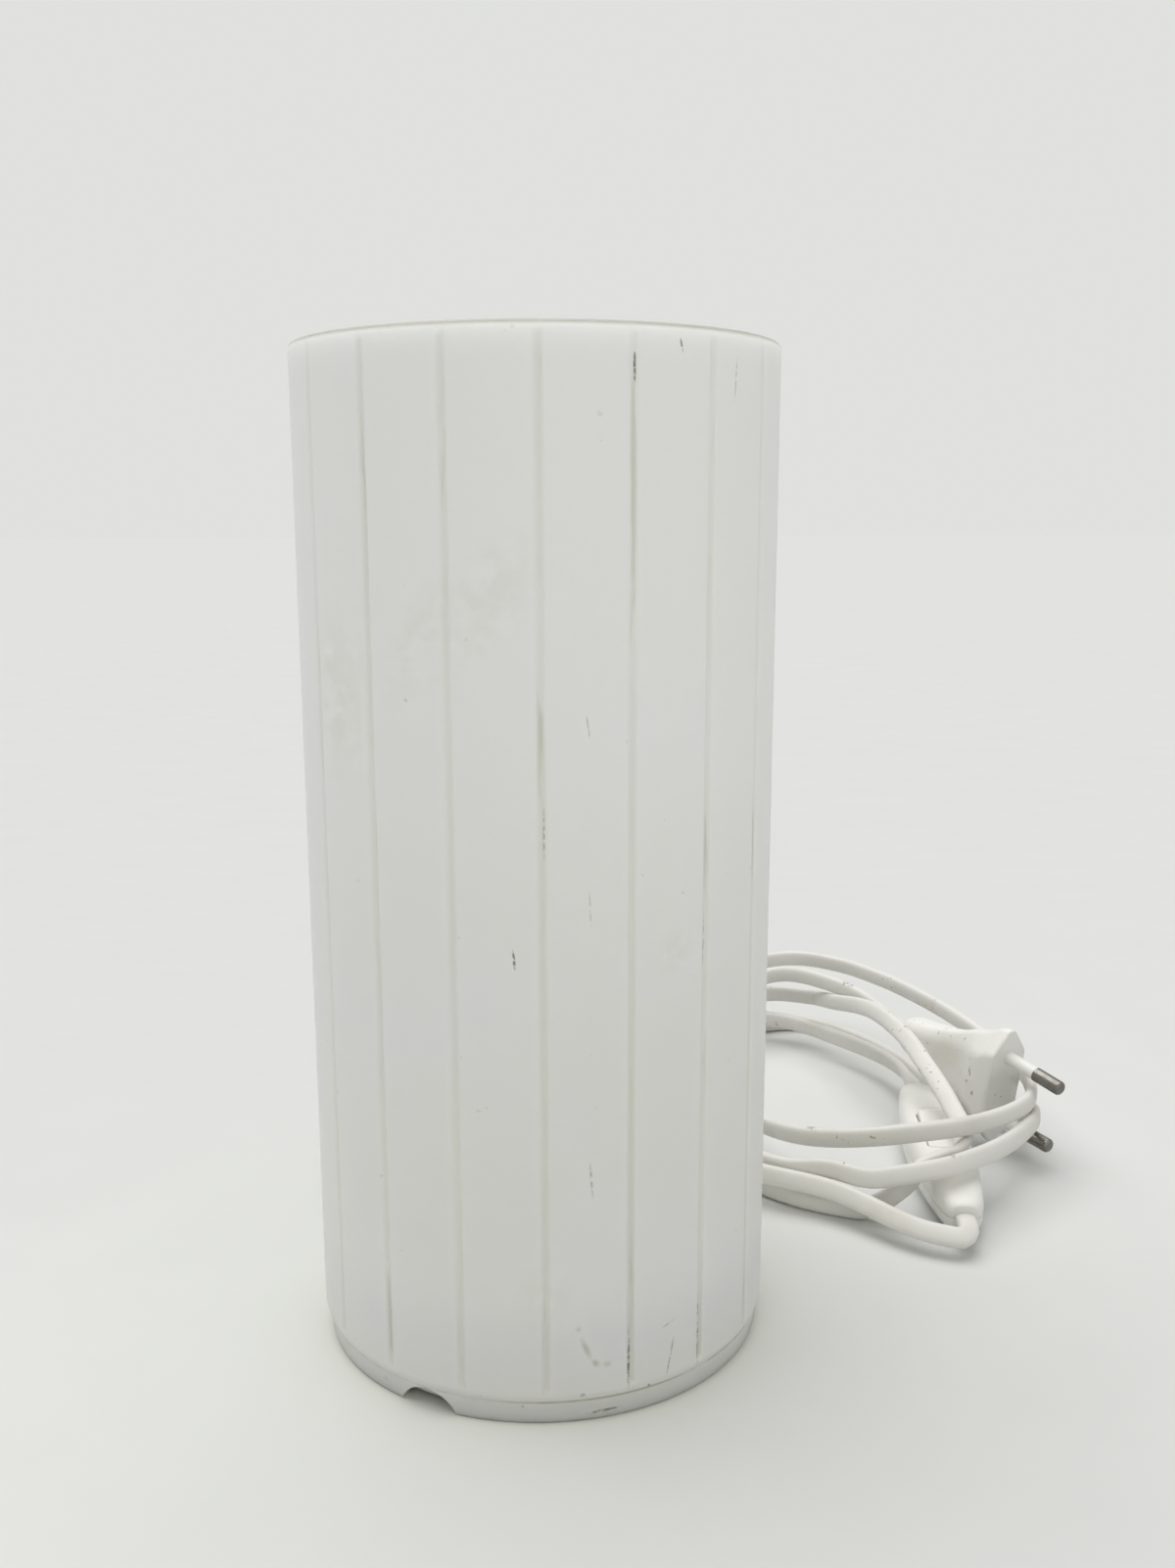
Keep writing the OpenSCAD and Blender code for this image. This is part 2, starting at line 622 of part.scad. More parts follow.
module switch_cover() color("white")
in_switch() difference() {
    wall_y = rocker_w / 2 + rocker_side;
    union() {
        difference() {
            switch_half_shell();
            switch_hollow();
        }
        for (s = [-1, 1])
            translate([-well_l / 2, s * (wall_y + well_t / 2) - well_t / 2, well_z])
                cube([well_l, well_t, cavity_h + 0.5 - well_z]);
    }
    translate([-land_l / 2, -land_w / 2, switch_half - land_t]) cube([land_l, land_w, cut]);
    translate([-rocker_l / 2 - rocker_end, -wall_y, cavity_h - cut])
        cube([rocker_l + 2 * rocker_end, 2 * wall_y, switch_half]);
    translate([0, wall_y + well_t + seat, pivot_z]) rotate([90, 0, 0])
        cylinder(d = pivot_d + 2 * run, h = 2 * (wall_y + well_t + seat));
    at_closings() translate([0, 0, -cut]) cylinder(d = close_d + seat, h = close_up + 0.4 + cut);
}

module switch_base() color("white")
in_switch() difference() {
    union() {
        mirror([0, 0, 1]) difference() {
            switch_half_shell();
            switch_hollow();
        }
        translate([-post_w / 2, block_y - post_w / 2, -cavity_h - 0.5])
            cube([post_w, post_w, cavity_h + 0.5 + leaf_z]);
    }
    at_closings() translate([0, 0, -switch_half - cut]) {
        cylinder(d = close_d + 2 * seat, h = switch_half + 2 * cut);
        cylinder(d = close_head_d + 3 * seat, h = switch_half - close_head_z + cut);
    }
}

module switch_screws() color("silver")
in_switch() at_closings() difference() {
    head_h = 1.2;
    union() {
        translate([0, 0, -close_head_z - head_h]) cylinder(d = close_head_d, h = head_h);
        translate([0, 0, -close_head_z]) cylinder(d = close_d, h = close_head_z + close_up);
    }
    translate([-close_head_d, -0.3, -close_head_z - head_h - cut]) cube([2 * close_head_d, 0.6, cut + 0.7]);
}

// Rocker with a shallow V top and its two trunnions, resting with the near side pressed
module switch_rocker() color("white")
in_switch() translate([0, 0, pivot_z]) rotate([0, -rocker_tilt, 0]) translate([0, 0, -pivot_z]) {
    h = rocker_l / 2;
    top = switch_half + rocker_proud;
    rotate([90, 0, 0]) translate([0, 0, -rocker_w / 2]) linear_extrude(rocker_w)
        polygon([[-4, pivot_z - 1.4], [4, pivot_z - 1.4], [h, top - 1.9], [h, top],
            [0, top - 0.4], [-h, top], [-h, top - 1.9]]);
    translate([0, rocker_w / 2 + well_t, pivot_z]) rotate([90, 0, 0])
        cylinder(d = pivot_d, h = rocker_w + 2 * well_t);
}

// Where the two brass blocks stand on the floor of the lower shell
module at_blocks() for (s = [-1, 1]) translate([s * block_x, s * block_y, -cavity_h]) children();

module switch_terminals() color("gold")
in_switch() at_blocks() difference() {
    translate([-block_l / 2, -block_w / 2, 0]) cube([block_l, block_w, block_h]);
    translate([0, 0, block_h - 2.4]) cylinder(d = block_screw_d + seat, h = 3);
    translate([-block_l, 0, block_h / 2 - 1]) rotate([0, 90, 0]) cylinder(d = 1.2, h = 2 * block_l);
}

module switch_terminal_screws() color("silver")
in_switch() at_blocks() {
    translate([0, 0, block_h - 1]) cylinder(d = block_screw_d, h = 2);
    translate([0, 0, block_h]) cylinder(d = 3, h = 1);
}

// Spring strip on its post, reaching to one of the brass blocks
module switch_leaf() color("gold")
in_switch() translate([-leaf_back, block_y - leaf_w / 2, leaf_z])
    cube([block_x - block_l / 2 + leaf_back - seat, leaf_w, leaf_t]);

// Puts the plug, drawn with its face at x = 0 and its pins along +X in a row along Z, into its place
module in_plug() translate(plug_at) rotate([plug_roll, plug_pitch, plug_head]) children();

// An outline mirrored about the X axis, from its points with y > 0
module both_sides(half) {
    n = len(half);
    polygon(concat(half, [for (i = [n - 1 : -1 : 0]) [half[i][0], -half[i][1]]]));
}

// Wide side of the plug: it narrows from the face to a rounded tail
module plug_wide() {
    w = plug_w / 2;
    tail = plug_tail_w / 2;
    both_sides(concat([[0, w], [-0.1 * plug_l, w - 0.6], [-0.15 * plug_l, w - 2.6], [-0.35 * plug_l, w - 5.4],
        [-0.44 * plug_l, w - 7.8], [-0.72 * plug_l, tail + 0.9], [-0.86 * plug_l, tail]],
        arc([-plug_l + 4, tail - 4], 4, 90, 180)));
}

// Edge view of the plug with its thumb hollows
module plug_edge() {
    t = plug_t / 2;
    waist = plug_waist_t / 2;
    tail = plug_tail_t / 2;
    both_sides(concat([[0, t], [-0.2 * plug_l, t - 0.3], [-0.3 * plug_l, waist + 1], [-0.4 * plug_l, waist + 0.1],
        [-0.5 * plug_l, waist], [-0.66 * plug_l, tail - 0.3], [-0.8 * plug_l, tail]],
        arc([-plug_l + 3, tail - 3], 3, 90, 180)));
}

// Six-sided outline of the plug's face
module plug_face() {
    w = plug_w / 2;
    t = plug_t / 2;
    both_sides([[w, plug_ridge], [w - plug_chamfer, t], [plug_chamfer - w, t], [-w, plug_ridge]]);
}

// Both pin places, each leaning in by the toe angle, with X along the pin
module at_pins() for (s = [-1, 1])
    translate([0, 0, s * pin_root / 2]) rotate([0, s * pin_toe, 0]) rotate([0, 90, 0]) children();

module plug_body() color("white")
in_plug() difference() {
    intersection() {
        rotate([90, 0, 0]) translate([0, 0, -plug_t]) linear_extrude(2 * plug_t) plug_wide();
        translate([0, 0, -plug_w]) linear_extrude(2 * plug_w) plug_edge();
        translate([-plug_l - cut, 0, 0]) rotate([0, 90, 0]) linear_extrude(plug_l + 2 * cut) plug_face();
    }
    at_pins() translate([0, 0, -core_in]) {
        cylinder(d = core_d + seat, h = core_in + cut);
        translate([0, 0, core_in - sleeve_in]) cylinder(d = sleeve_d + seat, h = sleeve_in + cut);
    }
}

// Round pins with a domed tip and a thinner root inside the sleeve
module plug_pins() color("silver")
in_plug() at_pins() rotate_extrude($fn = 32) polygon(concat(
    [[0, -core_in], [core_d / 2, -core_in], [core_d / 2, sleeve_l], [pin_d / 2, sleeve_l], [pin_d / 2, pin_l - 1]],
    arc([pin_d / 2 - 1, pin_l - 1], 1, 0, 90, 4), [[0, pin_l]]));

module plug_sleeves() color("white")
in_plug() at_pins() translate([0, 0, -sleeve_in]) difference() {
    cylinder(d = sleeve_d, h = sleeve_in + sleeve_l - seat, $fn = 32);
    translate([0, 0, -cut]) cylinder(d = core_d + seat, h = sleeve_in + sleeve_l + 2 * cut, $fn = 32);
}

module cord_lamp() color("white") flex(lamp_route);

module cord_plug() color("white") flex(plug_route);

glass_shade();
base_plate();
base_feet();
cord_clamp();
clamp_screws();
cord_inner();
nipple_tube();
nipple_nut();
nipple_washer();
lampholder_cap();
lampholder_insert();
lampholder_shell();
thread_sleeve();
centre_contact();
side_contact();
holder_terminal_screws();
bulb_envelope();
bulb_cap();
bulb_insulator();
bulb_contact();
bulb_stem();
bulb_filament();
switch_cover();
switch_base();
switch_screws();
switch_rocker();
switch_terminals();
switch_terminal_screws();
switch_leaf();
plug_body();
plug_pins();
plug_sleeves();
cord_lamp();
cord_plug();
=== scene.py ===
"""Dresses the accent lamp: camera, flex, glass, cord switch, plug, inner parts, floor and light."""
import math

import bpy
from mathutils import Matrix, Vector


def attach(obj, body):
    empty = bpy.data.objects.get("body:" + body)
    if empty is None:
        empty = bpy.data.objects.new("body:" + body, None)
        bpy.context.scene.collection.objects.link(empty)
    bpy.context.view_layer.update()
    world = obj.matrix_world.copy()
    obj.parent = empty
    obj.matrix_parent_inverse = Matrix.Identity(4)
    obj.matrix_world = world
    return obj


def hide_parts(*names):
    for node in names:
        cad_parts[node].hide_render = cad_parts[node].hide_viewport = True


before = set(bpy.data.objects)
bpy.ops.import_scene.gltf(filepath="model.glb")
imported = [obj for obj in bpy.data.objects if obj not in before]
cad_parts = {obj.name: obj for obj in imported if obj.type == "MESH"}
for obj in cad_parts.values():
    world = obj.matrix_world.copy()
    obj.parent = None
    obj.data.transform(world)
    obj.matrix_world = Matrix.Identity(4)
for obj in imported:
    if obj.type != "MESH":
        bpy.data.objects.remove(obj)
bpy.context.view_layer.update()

MM = 0.001

# Camera: the photograph's viewpoint, for an image of 1200 by 1601 pixels
IMAGE_H = 1601
FOCAL_PX = 1526.75
SENSOR = 36.0
CLIP_START = 0.01
CAMERA_AT = Vector((0.010518, -0.322527, 0.180582))
CAMERA_PITCH = math.radians(10.228)
CAMERA_ROLL = math.radians(-0.18)

# Flat flex, in millimetres: its section, the spacing of its rings, and its gaps to floor and housings
FLEX_W = 5.2
FLEX_T = 3.2
FLEX_POWER = 2.7
FLEX_STEP = 2.0
FLEX_SIDES = 20
FLOOR_GAP = 0.05
END_GAP = 0.1

# Routes of the flex: each point in millimetres, and the twist of its flat side, 0 lying flat, 90 on edge
CLAMP_END = (13.67, 25.92, 8.0, 0)
LAMP_ROUTE = [
    (16.3, 31, 7, 0), (19.1, 36.3, 4.2, 0), (22, 41.8, 2.2, 0), (27.5, 52.5, 2, 5), (34.5, 76.5, 2.8, 75),
    (34.5, 130, 3.2, 90), (38, 149, 4.6, 90), (48, 165.5, 7.2, 90), (61, 173.5, 8.4, 90),
    (73.5, 172.5, 8.4, 90), (96.5, 152, 7.6, 90), (108.5, 126.5, 8.2, 70), (110.2, 114, 8, 25)]
PLUG_ROUTE = [
    (104.8, 22.8, 5.4, 20), (102.4, 19.4, 5.2, 45), (97.6, 20.6, 5.4, 48), (73.5, 40.2, 8, 62),
    (51, 52.5, 9, 75), (41, 64.5, 9.6, 90), (35.5, 82, 10, 90), (34.5, 125.5, 11.4, 90),
    (40, 147.5, 12.8, 90), (50, 164.5, 14.2, 90), (62.5, 175.5, 15.2, 90), (75.5, 178, 15.8, 90),
    (86, 171, 17, 90), (91, 154, 21, 90), (100.8, 114.4, 29, 112), (104.6, 100, 27.8, 132),
    (106.6, 85, 25.8, 145), (110, 66, 20.6, 150), (110.4, 52.5, 17, 148), (107.2, 46.5, 15.8, 130),
    (101.4, 41.2, 16, 105), (96.6, 38.8, 14.8, 90), (91, 37.6, 9.6, 90), (82, 39.5, 3.2, 90),
    (62.5, 49.5, 2.8, 90), (45.5, 74.5, 2.8, 90), (42.5, 116.5, 2.8, 90), (51, 157.5, 2.8, 90),
    (60, 172.5, 2.8, 90), (72, 182.5, 2.8, 90), (84.5, 184.5, 2.8, 90), (100, 171.5, 2.8, 90),
    (112.5, 148.5, 2.8, 90), (119.5, 124, 2.8, 90), (133.5, 95.5, 5.2, 90), (137.5, 83.5, 11.4, 90),
    (134.6, 70.5, 14.6, 85), (121.2, 51, 15.6, 75), (110, 40, 16.6, 68), (101, 34.6, 16.6, 66),
    (92, 34.4, 15, 66), (83, 37.6, 12.4, 72), (73.5, 44.6, 11.9, 88), (62.5, 51, 9.6, 90),
    (52, 59, 10.2, 90), (43, 72.5, 12.4, 90), (37.5, 92, 15.2, 90),
    (36.5, 114.5, 16.8, 90), (39, 136.5, 18.4, 90),
    (46.5, 157.5, 21, 90), (57, 173.5, 24, 90), (70, 183.5, 25.4, 90), (83.5, 186.5, 26, 90),
    (97.5, 178, 26.2, 90), (109, 164.5, 25.6, 90), (119, 146.5, 24.8, 90), (132.5, 109, 22.4, 90),
    (136.6, 84, 20.6, 90), (133.6, 71.5, 20.4, 90), (116.5, 54, 20.8, 90), (106, 47.4, 21.8, 90),
    (96, 45.6, 21.4, 90), (86, 49, 18.8, 90), (70, 61.5, 13.6, 90), (53.5, 88, 10, 90),
    (45.5, 126.5, 10.4, 90), (52.5, 159, 16.8, 90), (61.5, 170.5, 20, 90), (72.5, 175.5, 22.8, 90),
    (90.5, 155.4, 26.8, 90), (97.6, 147, 25.8, 90), (103.4, 125.4, 25.8, 90), (104, 118.8, 26.2, 90)]

# Glass shade, in millimetres
GLASS_R = 50.0
GLASS_H = 214.5
GLASS_WALL = 4.0
RIM_R = 50.8
RIM_ROUND = 1.0
FOOT_H = 9.5
FOOT_R = 48.7
FOOT_ROUND = 0.9
# Outside of the foot band: height, and how far it stands out past the foot's radius
FOOT_BAND = [
    (2.0, 0.05), (3.4, 0.16), (4.4, 0.24), (4.8, 0.16), (5.2, 0.36), (5.7, 0.62), (6.2, 0.94), (6.7, 1.14)]
# Rows of the glass's mesh: heights over the foot band, the even rows, and distances below the rim's curve
LOW_ROWS = (7.2, 7.6, 8, 8.6, 9.5, 11, 14, 17)
WALL_FROM = 20.0
RIM_ZONE = 6.0
WALL_TO = GLASS_H - RIM_ROUND - RIM_ZONE
WALL_STEPS = 24
RIM_ROWS = (5, 4, 3, 2.2, 1.5, 0.9, 0.4)
INSIDE_STEPS = 12
FOOT_OUT_STEPS = 6
FOOT_IN_STEPS = 5
RIM_STEPS = 7
# Grooves: the first one's plan angle, their section and the heights of their ends
GROOVES = 18
GROOVE_FIRST = -87.8
GROOVE_W = 2.2
GROOVE_DEPTH = 0.5
GROOVE_FROM = 6.8
GROOVE_TO = 213.5
GROOVE_FADE = 1.2
GROOVE_CURVE = (GROOVE_W ** 2 / 4 + GROOVE_DEPTH ** 2) / (2 * GROOVE_DEPTH)
# Columns of the glass's mesh: close ones up to so many degrees from a groove's middle, and wide ones between
GROOVE_SPAN = 1.8
CLOSE_COLUMNS = 18
WIDE_COLUMNS = 12
# Arched cord notches in the foot: plan angles, the arch, and how far from the axis their cutter reaches
NOTCH_ANGLES = (62.2, 242.2)
NOTCH_R = 7.33
NOTCH_H = 4.6
NOTCH_REACH = (38, 60)
NOTCH_SIDES = 72

# Cord switch, in millimetres, in its own frame: X along it, Z up
SWITCH_AT = Vector((107, 66, 7.2))
SWITCH_HEAD = math.radians(87)
SWITCH_RISE = math.radians(1.2)
SWITCH_L = 77.5
SWITCH_W = 17.4
SWITCH_H = 13.2
SWITCH_END_W = 9.2
SWITCH_END_H = 8.6
SWITCH_NOSE = 4.0
NOSE_SHRINK = 0.3
SWITCH_POWER = 3.0
SWITCH_SIDES = 48
SWITCH_STATIONS = 48
SHELL_EDGE = 0.25
# A shell's edge at the parting line: how far in from its side, and height; its curved side starts above that
PARTING_EDGE = ((0.3, 0.04), (0.06, 0.2))
PARTING_TOP = 0.45
# Hollow inside the switch, with room left for the curve of its walls
SWITCH_WALL = 1.6
SIDE_ROOM = 1.2
TOP_ROOM = 1.0
CAVITY_L = 34.0
CAVITY_W = SWITCH_W - 2 * SWITCH_WALL - SIDE_ROOM
CAVITY_H = SWITCH_H / 2 - SWITCH_WALL - TOP_ROOM
CAVITY_CORNER = 1.0
# Flat land on top of the switch, and the well that the rocker sits in
LAND_L = 30.0
LAND_W = 11.0
LAND_DEPTH = 0.55
LAND_Z = SWITCH_H / 2 - LAND_DEPTH
LAND_CORNER = 3.0
WELL_L = 21.8
WELL_W = 9.3
WELL_FLOOR = 2.0
WELL_CORNER = 1.2
# How far cutters reach: above the switch, and past the parting line
CUT_TOP = 12.0
CUT_PAST = 1.0
# Rocker: how far it stands proud of the switch, its gap at the ends, its hollow and the keel below its pivot
ROCKER_W = 8.6
ROCKER_TILT = math.radians(6)
ROCKER_PROUD = 0.5
ROCKER_GAP = 0.1
ROCKER_HOLLOW = 0.4
ROCKER_EDGE = 0.5
ROCKER_LOW_ANGLE = 10
ROCKER_STEPS = 24
ROCKER_END_STEPS = 3
PIVOT_Z = 2.4
KEEL_HALF = 4.0
KEEL_DEPTH = 1.4

# Plug, in millimetres, in its own frame: X along the pins, Z across both pins
PLUG_AT = Vector((128.5, 80.4, 19.8))
PLUG_HEAD = math.radians(-57.5)
PLUG_PITCH = math.radians(8)
PLUG_ROLL = math.radians(-1.8)
PLUG_L = 39.0
PLUG_CORNER_STEPS = 5
# Plug sections: distance behind the face, half width, half thickness, chamfer, half ridge, corner radius
PLUG_SECTIONS = [
    (0.0, 17.0, 6.2, 6.8, 0.7, 0.8), (0.25, 17.4, 6.6, 6.9, 1.0, 0.9), (0.8, 17.65, 6.85, 7.0, 1.2, 1.0),
    (2.2, 17.4, 6.85, 7.0, 1.2, 1.2), (4.0, 16.9, 6.75, 7.0, 1.3, 1.4), (5.5, 15.6, 6.65, 6.8, 1.4, 1.6),
    (7.5, 14.5, 6.4, 6.4, 1.6, 2.0), (10.0, 13.6, 5.4, 5.8, 1.8, 2.2), (12.5, 12.6, 4.2, 5.2, 1.9, 2.2),
    (15.0, 11.3, 3.55, 4.6, 1.7, 2.0), (17.5, 9.9, 3.35, 4.0, 1.6, 2.0), (21.0, 9.0, 3.5, 3.6, 1.7, 2.2),
    (25.0, 7.9, 4.3, 3.2, 2.2, 2.6), (29.0, 7.0, 4.7, 3.0, 2.5, 2.8), (33.0, 6.3, 4.75, 2.8, 2.5, 2.8),
    (36.0, 5.7, 4.55, 2.6, 2.4, 2.6), (38.0, 4.8, 3.9, 2.2, 2.0, 2.2), (38.8, 3.9, 3.1, 1.8, 1.6, 1.8),
    (39.0, 3.1, 2.4, 1.4, 1.2, 1.4)]

SWITCH_FRAME = (Matrix.Translation(SWITCH_AT) @ Matrix.Rotation(SWITCH_HEAD, 4, "Z")
                @ Matrix.Rotation(-SWITCH_RISE, 4, "Y"))
PLUG_FRAME = (Matrix.Translation(PLUG_AT) @ Matrix.Rotation(PLUG_HEAD, 4, "Z")
              @ Matrix.Rotation(PLUG_PITCH, 4, "Y") @ Matrix.Rotation(PLUG_ROLL, 4, "X"))

# Edges: the angles past which they are sharp, steps of a bevel or corner, a corner's share of its sides
CREASE = math.radians(40)
WIDE_CREASE = math.radians(60)
BEVEL_STEPS = 3
CORNER_STEPS = 6
CORNER_SHARE = 0.45


def make_camera():
    data = bpy.data.cameras.new("camera")
    data.sensor_fit = "VERTICAL"
    data.sensor_height = SENSOR
    data.lens = FOCAL_PX * SENSOR / IMAGE_H
    data.clip_start = CLIP_START
    look = Vector((0, math.cos(CAMERA_PITCH), -math.sin(CAMERA_PITCH)))
    level_up = Vector((0, math.sin(CAMERA_PITCH), math.cos(CAMERA_PITCH)))
    right = math.cos(CAMERA_ROLL) * Vector((1, 0, 0)) + math.sin(CAMERA_ROLL) * level_up
    up = right.cross(look)
    turn = Matrix((right, up, -look)).transposed()
    camera = bpy.data.objects.new("camera", data)
    camera.matrix_world = Matrix.Translation(CAMERA_AT) @ turn.to_4x4()
    bpy.context.scene.collection.objects.link(camera)
    bpy.context.scene.camera = camera


def mesh_piece(name, points, faces, place=None):
    """A smooth-shaded mesh object from points in millimetres, moved by a 4x4 in millimetres."""
    place = place or Matrix.Identity(4)
    mesh = bpy.data.meshes.new(name)
    mesh.from_pydata([(place @ Vector(p)) * MM for p in points], [], faces)
    mesh.validate()
    mesh.shade_smooth()
    piece = bpy.data.objects.new(name, mesh)
    bpy.context.scene.collection.objects.link(piece)
    return piece


def loft(rings):
    """Points and faces of a closed skin over equal rings, with a flat cap on both ends."""
    sides = len(rings[0])
    points = [p for ring in rings for p in ring]
    faces = []
    for low in range(0, len(points) - sides, sides):
        high = low + sides
        for k in range(sides):
            beside = (k + 1) % sides
            faces.append((low + k, low + beside, high + beside, high + k))
    faces.append(tuple(reversed(range(sides))))
    faces.append(tuple(range(len(points) - sides, len(points))))
    return points, faces


def cut_out(piece, cutter):
    """Takes the cutter's volume out of a piece and deletes the cutter."""
    modifier = piece.modifiers.new("cut", "BOOLEAN")
    modifier.operation = "DIFFERENCE"
    modifier.solver = "EXACT"
    modifier.object = cutter
    done = bpy.data.meshes.new_from_object(piece.evaluated_get(bpy.context.evaluated_depsgraph_get()))
    piece.modifiers.clear()
    piece.data = done
    bpy.data.objects.remove(cutter)


def soften(piece, width):
    """A fine bevel on the sharp edges of a piece."""
    bevel = piece.modifiers.new("soft_edges", "BEVEL")
    bevel.width = width * MM
    bevel.segments = BEVEL_STEPS
    bevel.limit_method = "ANGLE"
    bevel.angle_limit = CREASE
    bevel.harden_normals = True


def arc(centre, radius, start, end, steps):
    """Points along an arc, from one angle to another in degrees."""
    turns = [math.radians(start + (end - start) * k / steps) for k in range(steps + 1)]
    return [(centre[0] + radius * math.cos(a), centre[1] + radius * math.sin(a)) for a in turns]


def oval(half_w, half_t, power, sides):
    """Points of a rounded flat section."""
    def bulge(v):
        return math.copysign(abs(v) ** (2 / power), v)
    turns = [2 * math.pi * k / sides for k in range(sides)]
    return [(half_w * bulge(math.cos(a)), half_t * bulge(math.sin(a))) for a in turns]


def smooth_route(route):
    """Samples of a smooth curve through the route's points, each with its twist."""
    points = [Vector(p[:3]) for p in route]
    gaps = [(b - a).length for a, b in zip(points, points[1:])]
    slopes = [(points[1] - points[0]) / gaps[0]]
    for i in range(1, len(points) - 1):
        before = (points[i] - points[i - 1]) / gaps[i - 1]
        after = (points[i + 1] - points[i]) / gaps[i]
        slopes.append((before * gaps[i] + after * gaps[i - 1]) / (gaps[i - 1] + gaps[i]))
    slopes.append((points[-1] - points[-2]) / gaps[-1])
    samples = []
    for i, gap in enumerate(gaps):
        count = max(2, round(gap / FLEX_STEP))
        for k in range(count):
            t = k / count
            place = ((2 * t ** 3 - 3 * t ** 2 + 1) * points[i] + (t ** 3 - 2 * t ** 2 + t) * gap * slopes[i]
                     + (3 * t ** 2 - 2 * t ** 3) * points[i + 1] + (t ** 3 - t ** 2) * gap * slopes[i + 1])
            ease = t * t * (3 - 2 * t)
            twist = (1 - ease) * route[i][3] + ease * route[i + 1][3]
            lowest = FLEX_T / 2 + (FLEX_W - FLEX_T) / 2 * abs(math.sin(math.radians(twist))) + FLOOR_GAP
            place.z = max(place.z, lowest)
            samples.append((place, twist))
    samples.append((points[-1], route[-1][3]))
    return samples


def make_flex(name, route):
    """A flat flex along a route, and the line that it follows in metres."""
    samples = smooth_route(route)
    section = oval(FLEX_W / 2, FLEX_T / 2, FLEX_POWER, FLEX_SIDES)
    rings = []
    for i, (place, twist) in enumerate(samples):
        ahead = samples[min(i + 1, len(samples) - 1)][0]
        behind = samples[max(i - 1, 0)][0]
        along = (ahead - behind).normalized()
        side = along.cross(Vector((0, 0, 1))).normalized()
        up = side.cross(along)
        turn = math.radians(twist)
        wide = math.cos(turn) * side + math.sin(turn) * up
        thin = along.cross(wide)
        rings.append([place + u * wide + v * thin for u, v in section])
    piece = mesh_piece(name, *loft(rings))
    return piece, [place * MM for place, _ in samples]


def make_cords():
    """The flex from lamp to switch and from switch to plug, each with the line that it follows."""
    switch_near = SWITCH_FRAME @ Vector((-SWITCH_L / 2 - END_GAP, 0, 0))
    switch_far = SWITCH_FRAME @ Vector((SWITCH_L / 2 + END_GAP, 0, 0))
    plug_tail = PLUG_FRAME @ Vector((-PLUG_L - END_GAP, 0, 0))
    lamp, lamp_path = make_flex("flex_lamp", [CLAMP_END] + LAMP_ROUTE + [(*switch_far, 0)])
    plug, plug_path = make_flex("flex_plug", [(*switch_near, 0)] + PLUG_ROUTE + [(*plug_tail, 90)])
    for piece, node in ((lamp, "cord_lamp"), (plug, "cord_plug")):
        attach(piece, "base")
        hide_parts(node)
    return (lamp, lamp_path), (plug, plug_path)


def glass_profile():
    """Radius and height round the wall's section: up the outside from the foot, and down the inside."""
    inner_r = GLASS_R - GLASS_WALL
    rim_in = RIM_R - GLASS_WALL
    shoulder = GLASS_H - RIM_ROUND
    lean = (RIM_R - GLASS_R) / (GLASS_H - FOOT_H)
    wall_rows = [WALL_FROM + (WALL_TO - WALL_FROM) * k / WALL_STEPS for k in range(WALL_STEPS + 1)]
    outside = arc((FOOT_R - FOOT_ROUND, FOOT_ROUND), FOOT_ROUND, -90, 0, FOOT_OUT_STEPS)
    outside += [(FOOT_R + out, z) for z, out in FOOT_BAND]
    outside += [(GLASS_R + lean * (z - FOOT_H), z) for z in (*LOW_ROWS, *wall_rows)]
    outside += [(RIM_R, shoulder - below) for below in RIM_ROWS]
    rim = arc((RIM_R - RIM_ROUND, shoulder), RIM_ROUND, 0, 90, RIM_STEPS)
    rim += arc((rim_in + RIM_ROUND, shoulder), RIM_ROUND, 90, 180, RIM_STEPS)
    inside = []
    for k in range(1, INSIDE_STEPS):
        t = k / INSIDE_STEPS
        inside.append((rim_in + (inner_r - rim_in) * t, shoulder + (FOOT_ROUND - shoulder) * t))
    foot = arc((inner_r + FOOT_ROUND, FOOT_ROUND), FOOT_ROUND, 180, 270, FOOT_IN_STEPS)
    return outside + rim + inside + foot


def groove_strength(z):
    """How deep a groove is at a height: full along the glass, fading out at both ends."""
    run_in = min((z - GROOVE_FROM) / GROOVE_FADE, (GROOVE_TO - z) / GROOVE_FADE)
    t = max(0.0, min(1.0, run_in))
    return t * t * (3 - 2 * t)


def groove_section(across):
    """Share of a round-bottomed groove's depth at a distance from its middle."""
    if abs(across) >= GROOVE_W / 2:
        return 0.0
    return (math.sqrt(GROOVE_CURVE ** 2 - across ** 2) - GROOVE_CURVE + GROOVE_DEPTH) / GROOVE_DEPTH


def glass_columns():
    """Plan angle of each column of the glass, and its offset from the middle of a groove."""
    pitch = 360 / GROOVES
    close = [-GROOVE_SPAN + 2 * GROOVE_SPAN * k / CLOSE_COLUMNS for k in range(CLOSE_COLUMNS)]
    wide = [GROOVE_SPAN + (pitch - 2 * GROOVE_SPAN) * k / WIDE_COLUMNS for k in range(WIDE_COLUMNS)]
    return [(GROOVE_FIRST + pitch * g + a, a) for g in range(GROOVES) for a in close + wide]


def notch_cutter(angle):
    """A lying cylinder that cuts an arched cord notch through the foot."""
    place = Matrix.Rotation(math.radians(angle), 4, "Z") @ Matrix.Translation((0, 0, NOTCH_H - NOTCH_R))
    turns = [2 * math.pi * k / NOTCH_SIDES for k in range(NOTCH_SIDES)]
    rings = [[(x, NOTCH_R * math.cos(a), NOTCH_R * math.sin(a)) for a in turns] for x in NOTCH_REACH]
    return mesh_piece("notch_cutter", *loft(rings), place)


